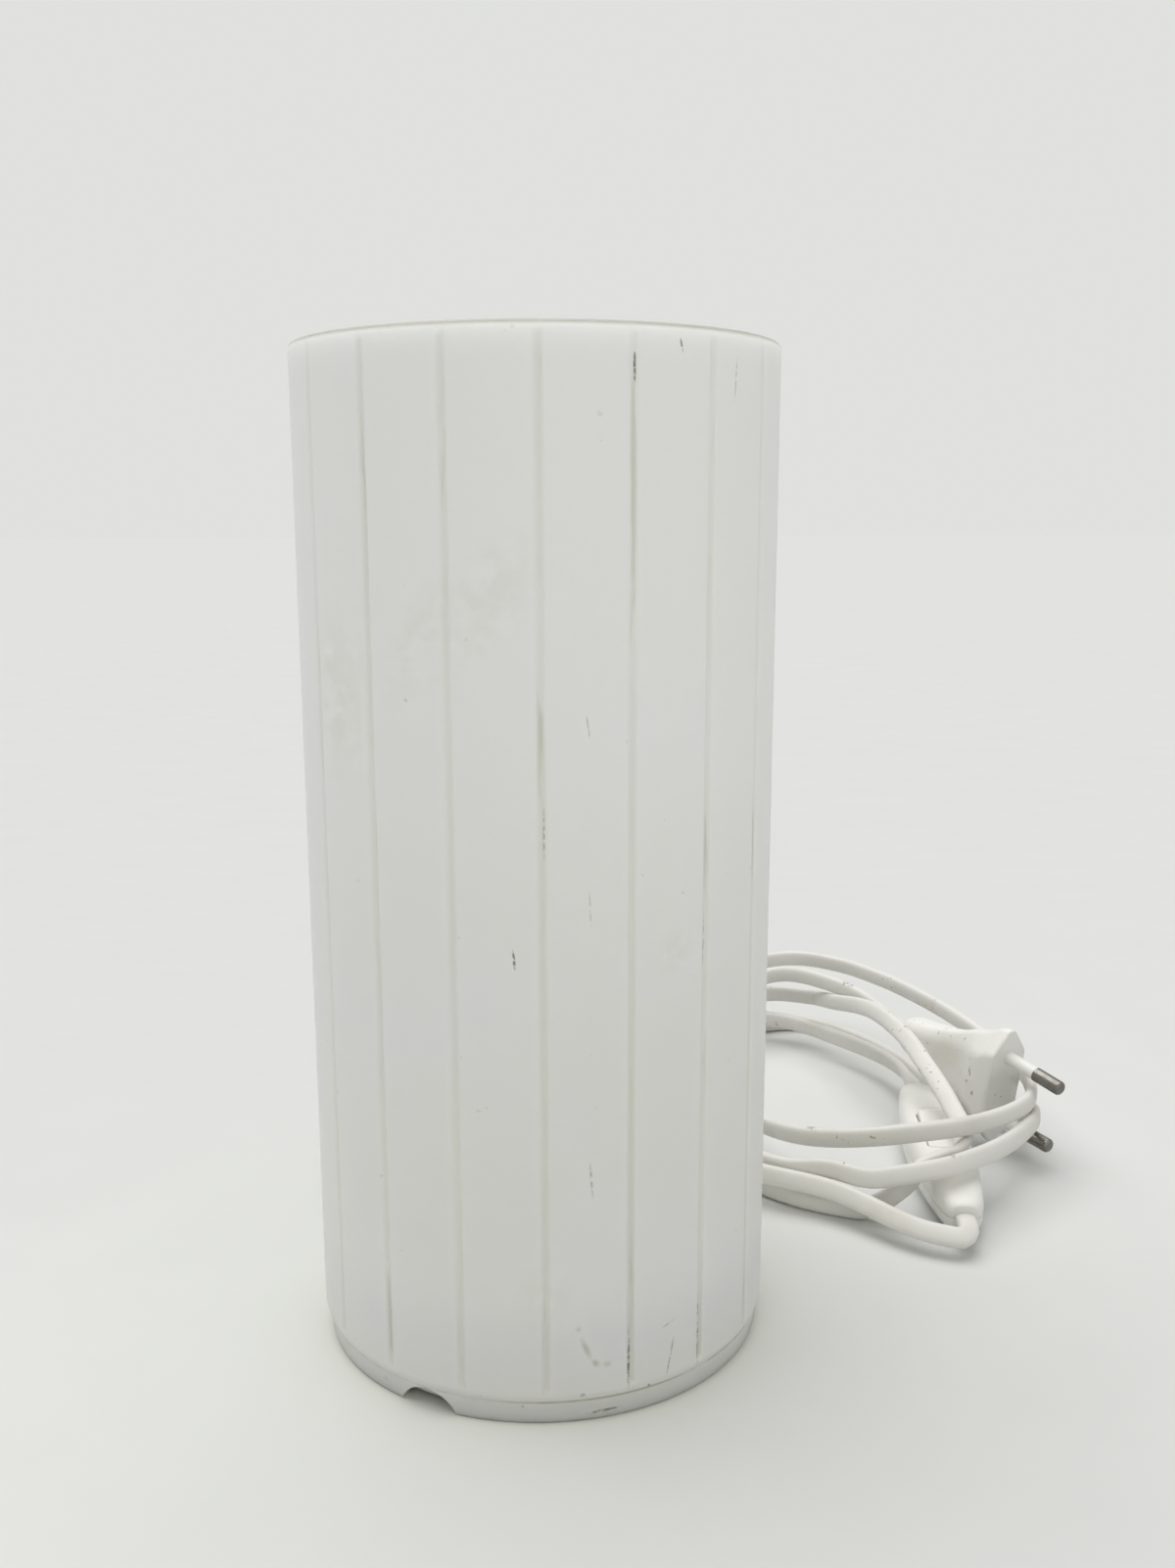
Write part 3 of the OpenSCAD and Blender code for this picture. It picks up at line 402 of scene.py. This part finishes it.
def make_glass():
    """The fluted glass, with each point's share of a groove's depth kept for its material."""
    profile = glass_profile()
    columns = glass_columns()
    points = []
    depth_of = []
    for angle, offset in columns:
        c = math.cos(math.radians(angle))
        s = math.sin(math.radians(angle))
        for r, z in profile:
            outside = r > GLASS_R - GLASS_WALL / 2
            sink = groove_strength(z) * groove_section(math.radians(offset) * GLASS_R) if outside else 0.0
            radius = r - GROOVE_DEPTH * sink
            points.append((radius * c, radius * s, z))
            depth_of.append(sink)
    rows = len(profile)
    faces = []
    for i in range(len(columns)):
        here = i * rows
        beside = (i + 1) % len(columns) * rows
        for k in range(rows):
            after = (k + 1) % rows
            faces.append((here + k, beside + k, beside + after, here + after))
    glass = mesh_piece("glass", points, faces)
    layer = glass.data.attributes.new("groove", "FLOAT", "POINT")
    layer.data.foreach_set("value", depth_of)
    for angle in NOTCH_ANGLES:
        cut_out(glass, notch_cutter(angle))
    glass.data.shade_smooth()
    glass.data.set_sharp_from_angle(angle=WIDE_CREASE)
    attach(glass, "shade")
    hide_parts("glass_shade")
    return glass


def housing_size(x):
    """Half width and half height of the switch housing at x, with rounded ends."""
    far = SWITCH_L / 2
    t = (x / far) ** 2
    half_w = (SWITCH_W - (SWITCH_W - SWITCH_END_W) * t) / 2
    half_h = (SWITCH_H - (SWITCH_H - SWITCH_END_H) * t) / 2
    end = max(0.0, (abs(x) - (far - SWITCH_NOSE)) / SWITCH_NOSE)
    shrink = 1 - NOSE_SHRINK * (1 - math.sqrt(max(0.0, 1 - end * end)))
    return half_w * shrink, half_h * shrink


def shell_ring(x, side):
    """Section of the upper (side 1) or lower (side -1) shell, with a fine step at the parting line."""
    half_w, half_h = housing_size(x)
    curve = [(y, z) for y, z in oval(half_w, half_h, SWITCH_POWER, SWITCH_SIDES) if z > PARTING_TOP]
    curve.sort(key=lambda p: -p[0])
    edge = [(half_w - inset, z) for inset, z in PARTING_EDGE]
    ring = edge + curve + [(-y, z) for y, z in reversed(edge)]
    return [(x, y, side * z) for y, z in ring]


def cut_box(shell, length, width, low, high, radius):
    """Cuts a box with round corners in plan, in the middle of the switch, out of one of its shells."""
    x = length / 2 - radius
    y = width / 2 - radius
    corners = [(x, y, 0), (-x, y, 90), (-x, -y, 180), (x, -y, 270)]
    plan = [p for u, v, a in corners for p in arc((u, v), radius, a, a + 90, CORNER_STEPS)]
    rings = [[(u, v, z) for u, v in plan] for z in (low, high)]
    cut_out(shell, mesh_piece("box_cutter", *loft(rings), SWITCH_FRAME))


def make_switch():
    """The two hollow shells of the cord switch, and its rocker."""
    far = SWITCH_L / 2
    stations = [-far * math.cos(math.pi * k / SWITCH_STATIONS) for k in range(SWITCH_STATIONS + 1)]
    shells = []
    for name, side, node in (("switch_upper", 1, "switch_cover"), ("switch_lower", -1, "switch_base")):
        rings = [shell_ring(x, side) for x in stations]
        if side < 0:
            rings.reverse()
        shell = mesh_piece(name, *loft(rings), SWITCH_FRAME)
        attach(shell, "base")
        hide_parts(node)
        shells.append(shell)
    upper, lower = shells
    cut_box(upper, LAND_L, LAND_W, LAND_Z, CUT_TOP, LAND_CORNER)
    cut_box(upper, WELL_L, WELL_W, WELL_FLOOR, CUT_TOP, WELL_CORNER)
    cut_box(upper, CAVITY_L, CAVITY_W, -CUT_PAST, CAVITY_H, CAVITY_CORNER)
    cut_box(lower, CAVITY_L, CAVITY_W, -CAVITY_H, CUT_PAST, CAVITY_CORNER)
    for shell in shells:
        shell.data.shade_smooth()
        shell.data.set_sharp_from_angle(angle=CREASE)
    soften(upper, SHELL_EDGE)
    return shells + [make_rocker()]


def make_rocker():
    """A shallow hollowed rocker whose ends are arcs round its pivot, at rest with its near side pressed."""
    top = SWITCH_H / 2 + ROCKER_PROUD
    end_r = WELL_L / 2 - ROCKER_GAP
    high_angle = math.degrees(math.asin((top - PIVOT_Z) / end_r))
    half = end_r * math.cos(math.radians(high_angle))
    pivot = (0, PIVOT_Z)
    upper_line = [half - 2 * half * k / ROCKER_STEPS for k in range(1, ROCKER_STEPS)]
    outline = arc(pivot, end_r, ROCKER_LOW_ANGLE, high_angle, ROCKER_END_STEPS)
    outline += [(x, top - ROCKER_HOLLOW * (1 - (x / half) ** 2)) for x in upper_line]
    outline += arc(pivot, end_r, 180 - high_angle, 180 - ROCKER_LOW_ANGLE, ROCKER_END_STEPS)
    outline += [(x, PIVOT_Z - KEEL_DEPTH) for x in (-KEEL_HALF, KEEL_HALF)]
    rings = [[(x, y, z) for x, z in outline] for y in (ROCKER_W / 2, -ROCKER_W / 2)]
    place = (SWITCH_FRAME @ Matrix.Translation((0, 0, PIVOT_Z)) @ Matrix.Rotation(-ROCKER_TILT, 4, "Y")
             @ Matrix.Translation((0, 0, -PIVOT_Z)))
    rocker = mesh_piece("rocker", *loft(rings), place)
    soften(rocker, ROCKER_EDGE)
    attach(rocker, "rocker")
    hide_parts("switch_rocker")
    return rocker


def round_corners(outline, radius, steps):
    """An outline with each corner replaced by a small curve."""
    count = len(outline)
    points = []
    for i in range(count):
        here = Vector(outline[i])
        before = Vector(outline[i - 1]) - here
        after = Vector(outline[(i + 1) % count]) - here
        reach = min(radius, CORNER_SHARE * before.length, CORNER_SHARE * after.length)
        start = here + before.normalized() * reach
        end = here + after.normalized() * reach
        for k in range(steps + 1):
            t = k / steps
            points.append(tuple((1 - t) ** 2 * start + 2 * t * (1 - t) * here + t * t * end))
    return points


def plug_ring(behind, half_w, half_t, chamfer, ridge, radius):
    """Eight-sided section of the plug at a distance behind its face."""
    flat = half_w - chamfer
    outline = [(half_w, ridge), (flat, half_t), (-flat, half_t), (-half_w, ridge),
               (-half_w, -ridge), (-flat, -half_t), (flat, -half_t), (half_w, -ridge)]
    return [(-behind, y, z) for z, y in round_corners(outline, radius, PLUG_CORNER_STEPS)]


def make_plug():
    rings = [plug_ring(*section) for section in PLUG_SECTIONS]
    plug = mesh_piece("plug", *loft(rings), PLUG_FRAME)
    plug.data.set_sharp_from_angle(angle=WIDE_CREASE)
    subdivision = plug.modifiers.new("smooth", "SUBSURF")
    subdivision.levels = 1
    subdivision.render_levels = 2
    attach(plug, "base")
    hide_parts("plug_body")
    return plug


class Nodes:
    """A new material with short calls for the nodes it needs."""

    def __init__(self, name):
        self.material = bpy.data.materials.new(name)
        self.material.use_nodes = True
        self.tree = self.material.node_tree
        self.shader = self.tree.nodes["Principled BSDF"]
        self.coordinate = self.tree.nodes.new("ShaderNodeTexCoord").outputs["Object"]

    def add(self, kind, **settings):
        node = self.tree.nodes.new(kind)
        for key, value in settings.items():
            setattr(node, key, value)
        return node

    def link(self, output, target):
        self.tree.links.new(output, target)

    def noise(self, scale, detail=3.0, stretch=(1, 1, 1)):
        """Noise of so many cells to a metre, stretched along an axis."""
        mapping = self.add("ShaderNodeMapping")
        mapping.inputs["Scale"].default_value = stretch
        self.link(self.coordinate, mapping.inputs["Vector"])
        texture = self.add("ShaderNodeTexNoise")
        texture.inputs["Scale"].default_value = scale
        texture.inputs["Detail"].default_value = detail
        self.link(mapping.outputs["Vector"], texture.inputs["Vector"])
        return texture.outputs["Fac"]

    def between(self, value, low, high, to_low=0.0, to_high=1.0):
        """A value mapped from one range to another, held at its ends."""
        node = self.add("ShaderNodeMapRange", interpolation_type="SMOOTHSTEP")
        self.link(value, node.inputs["Value"])
        for key, number in (("From Min", low), ("From Max", high), ("To Min", to_low), ("To Max", to_high)):
            node.inputs[key].default_value = number
        return node.outputs["Result"]

    def math(self, operation, a, b=0.0):
        node = self.add("ShaderNodeMath", operation=operation)
        for socket, value in zip(node.inputs, (a, b)):
            if isinstance(value, (int, float)):
                socket.default_value = value
            else:
                self.link(value, socket)
        return node.outputs["Value"]

    def split(self):
        """The place on the piece as its X, Y and Z outputs, in metres."""
        node = self.add("ShaderNodeSeparateXYZ")
        self.link(self.coordinate, node.inputs["Vector"])
        return node.outputs

    def around(self, radius):
        """A flat map of an upright tube: X runs round it and Y up it, both in metres."""
        place = self.split()
        turn = self.math("ARCTAN2", place["Y"], place["X"])
        flat = self.add("ShaderNodeCombineXYZ")
        self.link(self.math("MULTIPLY", turn, radius), flat.inputs["X"])
        self.link(place["Z"], flat.inputs["Y"])
        return flat.outputs["Vector"]

    def spot(self, vector, place, half, lean, core):
        """A soft oval that is 1 inside the core share of its half sizes and 0 outside them."""
        mapping = self.add("ShaderNodeMapping", vector_type="TEXTURE")
        mapping.inputs["Location"].default_value = place
        mapping.inputs["Rotation"].default_value = (0, 0, math.radians(lean))
        mapping.inputs["Scale"].default_value = half
        self.link(vector, mapping.inputs["Vector"])
        reach = self.add("ShaderNodeVectorMath", operation="LENGTH")
        self.link(mapping.outputs["Vector"], reach.inputs[0])
        return self.between(reach.outputs["Value"], core, 1.0, 1.0, 0.0)

    def most(self, values):
        """The greatest of several outputs."""
        top = values[0]
        for value in values[1:]:
            top = self.math("MAXIMUM", top, value)
        return top

    def mix(self, factor, a, b):
        """Two colours mixed; each is a colour or an output."""
        node = self.add("ShaderNodeMix", data_type="RGBA")
        self.link(factor, node.inputs["Factor"])
        colours = [s for s in node.inputs if s.type == "RGBA"]
        for socket, value in zip(colours, (a, b)):
            if isinstance(value, tuple):
                socket.default_value = (*value, 1)
            else:
                self.link(value, socket)
        return [s for s in node.outputs if s.type == "RGBA"][0]

    def colour(self, output):
        self.link(output, self.shader.inputs["Base Color"])

    def roughness(self, scale, detail, low, high):
        """Roughness that wavers between two values with a noise."""
        wave = self.between(self.noise(scale, detail), 0.3, 0.7, low, high)
        self.link(wave, self.shader.inputs["Roughness"])

    def bump(self, height, strength, distance):
        node = self.add("ShaderNodeBump")
        node.inputs["Strength"].default_value = strength
        node.inputs["Distance"].default_value = distance
        self.link(height, node.inputs["Height"])
        self.link(node.outputs["Normal"], self.shader.inputs["Normal"])

    def attribute(self, name):
        return self.add("ShaderNodeAttribute", attribute_name=name).outputs["Fac"]

    def set(self, **values):
        for key, value in values.items():
            self.shader.inputs[key.replace("_", " ")].default_value = value


# Wear on the glass: plan angle, height, half width, half height (millimetres), lean, strength
GLASS_SCRATCHES = [
    (-56.8, 210.6, 0.3, 1.6, 14, 0.8), (-67.6, 206.5, 0.35, 4.0, 0, 0.9), (-117.5, 146.6, 0.5, 0.7, 0, 0.5),
    (-94.0, 97.6, 0.35, 2.4, 5, 0.9), (-77.8, 142.0, 0.25, 2.6, 8, 0.45), (-77.4, 107.0, 0.25, 4.5, 3, 0.3),
    (-77.3, 52.6, 0.3, 4.6, 4, 0.55), (-57.2, 11.0, 0.28, 5.2, -12, 0.75),
    (-57.6, 18.4, 0.25, 2.4, -70, 0.4), (-68.2, 13.0, 0.4, 8.0, 0, 0.9),
    (-48.4, 13.5, 0.4, 9.5, 0, 0.85), (-48.2, 98.0, 0.3, 7.0, 0, 0.4),
    (-40.4, 206.0, 0.22, 6.0, -4, 0.5), (-87.3, 122.0, 0.3, 6.5, 0, 0.45), (-74.0, 1.9, 4.6, 0.4, 2, 0.9),
    (-93.2, 4.2, 0.5, 0.5, 0, 0.8), (-62.5, 5.4, 0.5, 0.5, 0, 0.8), (-79.4, 6.6, 0.8, 0.6, 0, 0.6)]
GLASS_SMEARS = [
    (-78.6, 16.8, 0.9, 3.4, 22, 0.75), (-76.4, 13.4, 1.0, 1.5, 40, 0.8), (-73.6, 12.8, 1.2, 0.9, 0, 0.6),
    (-80.4, 21.2, 0.9, 0.8, 0, 0.7), (-98.0, 166.0, 11, 18, -40, 0.2), (-139.0, 146.0, 13, 24, 0, 0.22),
    (-113.0, 158.0, 9, 18, -35, 0.18), (-57.0, 97.0, 6, 6, 0, 0.16), (-88.0, 28.0, 8, 10, 0, 0.12),
    (20.0, 60.0, 9, 14, 20, 0.18), (95.0, 120.0, 10, 12, -25, 0.18)]
GLASS_MARK_R = 50.4

# Glass colours: the wall low down, high up, in its clouds and at the foot, and each kind of dirt; low down
# and at the foot the colour is lighter, a painted glow of light through the glass, and the grooves' and
# rim's dirt colours are also painted shade
GLASS_LOW_YELLOWED_GLOW = (0.975, 0.99, 0.86)
GLASS_HIGH = (0.92, 0.935, 0.89)
GLASS_WARM = (0.925, 0.93, 0.88)
GLASS_COOL = (0.92, 0.95, 0.96)
GLASS_FOOT_YELLOWED_GLOW = (0.99, 0.995, 0.83)
GROOVE_SHADE_AND_STAIN = (0.58, 0.58, 0.53)
GROOVE_FLECK = (0.4, 0.39, 0.34)
RIM_SHADE_AND_DIRT = (0.3, 0.29, 0.26)
SEAM_DIRT = (0.36, 0.35, 0.31)
SMEAR = (0.5, 0.49, 0.42)
SCRATCH = (0.2, 0.2, 0.18)
GLASS_SPECK = (0.38, 0.37, 0.33)
# Heights between which those colours change, in millimetres
WALL_GLOW_AND_TINT_HEIGHTS = (40, 170)
FOOT_GLOW_AND_TINT_HEIGHTS = (4, 18)
RIM_SHADE_AND_DIRT_Z = (213.2, GLASS_H - 0.4)
SEAM_Z = 4.9
SEAM_HALF = 0.5


def glass_marks(n, flat, marks, core):
    """All marks of one kind as one value."""
    spots = []
    for angle, height, half_w, half_h, lean, strength in marks:
        place = (math.radians(angle) * GLASS_MARK_R * MM, height * MM, 0)
        spot = n.spot(flat, place, (half_w * MM, half_h * MM, 1), lean, core)
        spots.append(n.math("MULTIPLY", spot, strength))
    return n.most(spots)


def frosted_glass():
    """Cloudy frosted glass, lighter low down and at the foot as painted glow, with dirt and painted shade in
    its grooves and on its rim, dirt on its seam, smears and scratches.
    """
    n = Nodes("frosted_glass")
    flat = n.around(GLASS_MARK_R * MM)
    z = n.split()["Z"]

    def over_height(low, high, to_low=0.0, to_high=1.0):
        return n.between(z, low * MM, high * MM, to_low, to_high)

    # Painted glow: the wall's colour is lighter and yellower low down, standing in for light that passes
    # through the glass
    colour = n.mix(over_height(*WALL_GLOW_AND_TINT_HEIGHTS), GLASS_LOW_YELLOWED_GLOW, GLASS_HIGH)
    warm = n.between(n.noise(14, 4), 0.4, 0.72, 0.0, 0.6)
    colour = n.mix(warm, colour, GLASS_WARM)
    cool = n.between(n.noise(23, 3), 0.5, 0.75, 0.0, 0.6)
    colour = n.mix(cool, colour, GLASS_COOL)
    # Painted glow: the foot's colour is lighter and yellower, standing in for light through the glass
    colour = n.mix(over_height(*FOOT_GLOW_AND_TINT_HEIGHTS, 1.0, 0.0), colour, GLASS_FOOT_YELLOWED_GLOW)
    # Painted shade and stain: every groove darkens with its depth, with stain that varies along it
    groove = n.attribute("groove")
    shade_and_stain = n.between(n.noise(55, 4, (1, 1, 0.12)), 0.38, 0.72, 0.18, 0.42)
    colour = n.mix(n.math("MULTIPLY", groove, shade_and_stain), colour, GROOVE_SHADE_AND_STAIN)
    fleck = n.between(n.noise(300, 3, (1, 1, 0.1)), 0.56, 0.68, 0.0, 0.4)
    groove_floor = n.math("POWER", groove, 3.0)
    colour = n.mix(n.math("MULTIPLY", groove_floor, fleck), colour, GROOVE_FLECK)
    # Painted shade and dirt: a dark band round the rim's rounded edge
    colour = n.mix(over_height(*RIM_SHADE_AND_DIRT_Z, 0.0, 0.85), colour, RIM_SHADE_AND_DIRT)
    seam = n.math("MULTIPLY", over_height(SEAM_Z - SEAM_HALF, SEAM_Z),
                  over_height(SEAM_Z, SEAM_Z + SEAM_HALF, 1.0, 0.0))
    seam = n.math("MULTIPLY", seam, n.between(n.noise(60, 3), 0.42, 0.62, 0.1, 0.8))
    colour = n.mix(seam, colour, SEAM_DIRT)
    smear = n.math("MULTIPLY", glass_marks(n, flat, GLASS_SMEARS, 0.1), n.between(n.noise(160, 4), 0.3, 0.6))
    colour = n.mix(smear, colour, SMEAR)
    broken = n.between(n.noise(900, 2), 0.36, 0.56)
    scratch = n.math("MULTIPLY", glass_marks(n, flat, GLASS_SCRATCHES, 0.45), broken)
    colour = n.mix(scratch, colour, SCRATCH)
    speck = n.between(n.noise(420, 1), 0.79, 0.81, 0.0, 0.2)
    n.colour(n.mix(speck, colour, GLASS_SPECK))
    n.roughness(400, 2, 0.5, 0.62)
    n.set(IOR=1.5, Subsurface_Weight=1.0, Subsurface_Radius=(1.0, 1.0, 0.95), Subsurface_Scale=0.01)
    n.bump(n.noise(1100, 2), 0.1, 0.0003)
    return n.material


# Dark scuffs: centre and half sizes in millimetres, along the cords, and on the plug in its own frame
CORD_SCUFFS = [
    ((100.5, 36, 19), (6, 1.6, 1)), ((80.7, 53, 19.2), (1.6, 1.2, 0.7)), ((80.5, 52, 16.4), (0.8, 1.2, 0.8)),
    ((72, 60, 16.5), (4, 3, 0.6)), ((107.3, 80.5, 26), (1, 1, 1)), ((108.5, 74, 24), (0.8, 1.4, 0.8)),
    ((95.8, 149, 28.4), (4, 4, 0.8)), ((85.6, 30, 8.4), (1, 1, 0.8)), ((60, 171, 17.8), (7, 4, 0.7)),
    ((45.5, 120, 12.8), (2, 6, 0.8)), ((135, 100, 24.6), (2, 5, 0.7)), ((70, 183, 27.8), (6, 2, 0.7))]
PLUG_SCUFFS = [
    ((-7.5, -6.5, 8.5), (0.9, 1, 0.8)), ((-7.8, -6.4, 2.4), (1.2, 1, 1.8)),
    ((-8.4, -6.2, -0.8), (1, 1, 0.9)), ((-5.2, -6.6, -2.6), (0.8, 1, 1.4)),
    ((-30, 4.6, 1.5), (2.5, 1, 0.6)), ((-1, 4, 16), (1.5, 1, 0.8))]
# Plastic colours: the share of its tint that a yellowed patch keeps, dirt specks and scuffs
YELLOWED = (0.92, 0.905, 0.86)
DIRT_SPECK = (0.3, 0.25, 0.2)
SCUFF = (0.2, 0.17, 0.14)
# Tints of the flex, of the switch and plug, and of the white pieces inside
JACKET_TINT = (0.75, 0.742, 0.71)
WHITE_TINT = (0.82, 0.815, 0.785)
INNER_WHITE = (0.8, 0.8, 0.78)
# Fine grain of the surface, in cells to a metre
JACKET_GRAIN = 1500
WHITE_GRAIN = 1200
# Share of its tint that a mottled plastic or a dulled metal keeps, and the two tones of the bulb's glass
MOTTLED = 0.93
DULLED = 0.7
BULB_TONES = ((0.93, 0.94, 0.94), (0.98, 0.98, 0.97))


def scuff_places():
    """Both lists as centres and half sizes in metres."""
    places = [(Vector(at) * MM, Vector(half) * MM) for at, half in CORD_SCUFFS]
    places += [((PLUG_FRAME @ Vector(at)) * MM, Vector(half) * MM) for at, half in PLUG_SCUFFS]
    return places


def white_plastic(name, tint, roughness, grain):
    """White moulded plastic, yellowed in patches, scuffed, and specked with fine dirt."""
    n = Nodes(name)
    yellowed = tuple(c * f for c, f in zip(tint, YELLOWED))
    colour = n.mix(n.between(n.noise(70, 5), 0.5, 0.78), tint, yellowed)
    patch = n.between(n.noise(45, 3), 0.5, 0.62)
    speck = n.math("MULTIPLY", n.between(n.noise(750, 1), 0.68, 0.73, 0.0, 0.75), patch)
    colour = n.mix(speck, colour, DIRT_SPECK)
    scuff = n.most([n.spot(n.coordinate, at, half, 0, 0.3) for at, half in scuff_places()])
    scuff = n.math("MULTIPLY", scuff, n.between(n.noise(1000, 3), 0.47, 0.6, 0.0, 0.75))
    n.colour(n.mix(scuff, colour, SCUFF))
    n.roughness(150, 3, roughness, roughness + 0.12)
    n.bump(n.noise(grain, 2), 0.08, 0.0003)
    return n.material


def plain_plastic(name, tint, roughness):
    """Moulded plastic or rubber with a faint mottle."""
    n = Nodes(name)
    shade = tuple(MOTTLED * c for c in tint)
    n.colour(n.mix(n.between(n.noise(140, 5), 0.35, 0.75), tint, shade))
    n.roughness(200, 3, roughness, roughness + 0.15)
    n.bump(n.noise(1200, 2), 0.15, 0.0003)
    return n.material


def metal(name, tint, roughness):
    """Metal dulled in patches."""
    n = Nodes(name)
    shade = tuple(DULLED * c for c in tint)
    n.colour(n.mix(n.between(n.noise(180, 4), 0.4, 0.8), tint, shade))
    n.roughness(500, 3, roughness, roughness + 0.2)
    n.set(Metallic=1.0)
    n.bump(n.noise(1500, 2), 0.1, 0.0002)
    return n.material


def bulb_glass():
    """Clear glass with a faint haze."""
    n = Nodes("bulb_glass")
    haze = n.between(n.noise(40, 3), 0.3, 0.7)
    n.colour(n.mix(haze, *BULB_TONES))
    n.roughness(300, 2, 0.08, 0.16)
    n.set(Transmission_Weight=0.85, IOR=1.5)
    return n.material


def dress(piece, material):
    piece.data.materials.clear()
    piece.data.materials.append(material)


def dress_inner_parts():
    """Materials for the CAD nodes that show as they are."""
    steel = metal("steel", (0.62, 0.62, 0.61), 0.3)
    nickel = metal("nickel", (0.74, 0.72, 0.68), 0.2)
    # The pins' nickel is darkened as a painted dark reflection of the surroundings
    nickel_painted_dark = metal("nickel_painted_dark", (0.21, 0.2, 0.185), 0.2)
    brass = metal("brass", (0.76, 0.58, 0.27), 0.28)
    grey = plain_plastic("grey_plastic", (0.72, 0.72, 0.7), 0.45)
    ivory = plain_plastic("ivory_plastic", (0.82, 0.79, 0.71), 0.4)
    white = white_plastic("sleeve_plastic", INNER_WHITE, 0.4, WHITE_GRAIN)
    jacket = white_plastic("inner_jacket", INNER_WHITE, 0.45, JACKET_GRAIN)
    rubber = plain_plastic("rubber", (0.05, 0.05, 0.05), 0.7)
    black = plain_plastic("black_glass", (0.03, 0.03, 0.03), 0.15)
    clear = bulb_glass()
    finish = {
        "base_plate": grey, "base_feet": rubber, "cord_clamp": grey, "clamp_screws": steel,
        "cord_inner": jacket, "nipple_tube": steel, "nipple_nut": steel, "nipple_washer": steel,
        "lampholder_cap": ivory, "lampholder_insert": ivory, "lampholder_shell": ivory,
        "thread_sleeve": nickel, "centre_contact": brass, "side_contact": brass,
        "holder_terminal_screws": steel, "bulb_envelope": clear, "bulb_cap": nickel,
        "bulb_insulator": black, "bulb_contact": nickel, "bulb_stem": clear, "bulb_filament": steel,
        "switch_screws": steel, "switch_terminals": brass, "switch_terminal_screws": steel,
        "switch_leaf": brass, "plug_pins": nickel_painted_dark, "plug_sleeves": white}
    for node, material in finish.items():
        dress(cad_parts[node], material)


# Floor and light
FLOOR_SIZE = 12.0
FLOOR_TONES = ((0.695, 0.705, 0.695), (0.705, 0.715, 0.705))
BACKDROP = (0.748, 0.755, 0.732)
AMBIENT = 0.25
AMBIENT_TINT = (0.97, 0.985, 1.0)


def make_floor():
    corners = [(x * FLOOR_SIZE, y * FLOOR_SIZE, 0) for x, y in ((-1, -1), (1, -1), (1, 1), (-1, 1))]
    mesh = bpy.data.meshes.new("floor")
    mesh.from_pydata(corners, [], [(0, 1, 2, 3)])
    floor = bpy.data.objects.new("floor", mesh)
    bpy.context.scene.collection.objects.link(floor)
    n = Nodes("floor")
    n.colour(n.mix(n.between(n.noise(30, 4), 0.3, 0.7), *FLOOR_TONES))
    n.set(Roughness=0.9, Specular_IOR_Level=0.0)
    dress(floor, n.material)


def soft_sun(name, azimuth, elevation, spread, power, tint):
    """A soft light from far away, so that the floor is lit evenly; azimuth 0 is the camera's side."""
    data = bpy.data.lights.new(name, "SUN")
    data.angle = math.radians(spread)
    data.energy = power
    data.color = tint
    light = bpy.data.objects.new(name, data)
    a = math.radians(azimuth)
    e = math.radians(elevation)
    towards = Vector((math.cos(e) * math.sin(a), -math.cos(e) * math.cos(a), math.sin(e)))
    light.rotation_euler = (-towards).to_track_quat("-Z", "Y").to_euler()
    bpy.context.scene.collection.objects.link(light)


def make_light():
    """Even light from all round, a plain backdrop for what looks past the object, and two soft lamps."""
    world = bpy.data.worlds.new("studio")
    world.use_nodes = True
    tree = world.node_tree
    ambient = tree.nodes["Background"]
    ambient.inputs["Color"].default_value = (*AMBIENT_TINT, 1)
    ambient.inputs["Strength"].default_value = AMBIENT
    backdrop = tree.nodes.new("ShaderNodeBackground")
    backdrop.inputs["Color"].default_value = (*BACKDROP, 1)
    rays = tree.nodes.new("ShaderNodeLightPath").outputs
    shows_backdrop = rays["Is Camera Ray"]
    for kind in ("Is Glossy Ray", "Is Transmission Ray"):
        either = tree.nodes.new("ShaderNodeMath")
        either.operation = "MAXIMUM"
        tree.links.new(shows_backdrop, either.inputs[0])
        tree.links.new(rays[kind], either.inputs[1])
        shows_backdrop = either.outputs["Value"]
    blend = tree.nodes.new("ShaderNodeMixShader")
    tree.links.new(shows_backdrop, blend.inputs["Fac"])
    tree.links.new(ambient.outputs["Background"], blend.inputs[1])
    tree.links.new(backdrop.outputs["Background"], blend.inputs[2])
    tree.links.new(blend.outputs["Shader"], tree.nodes["World Output"].inputs["Surface"])
    bpy.context.scene.world = world
    soft_sun("top", azimuth=-130, elevation=76, spread=65, power=2.35, tint=(1.0, 0.99, 0.97))
    soft_sun("front", azimuth=25, elevation=30, spread=100, power=0.7, tint=(1.0, 0.97, 0.91))


make_camera()
lamp_cord, plug_cord = make_cords()
glass = make_glass()
switch_pieces = make_switch()
plug = make_plug()

dress(glass, frosted_glass())
jacket = white_plastic("cord_jacket", JACKET_TINT, 0.42, JACKET_GRAIN)
for flex, _ in (lamp_cord, plug_cord):
    dress(flex, jacket)
white = white_plastic("white_plastic", WHITE_TINT, 0.36, WHITE_GRAIN)
for piece in switch_pieces + [plug]:
    dress(piece, white)
dress_inner_parts()

make_floor()
make_light()
bpy.context.scene.view_settings.view_transform = "Standard"
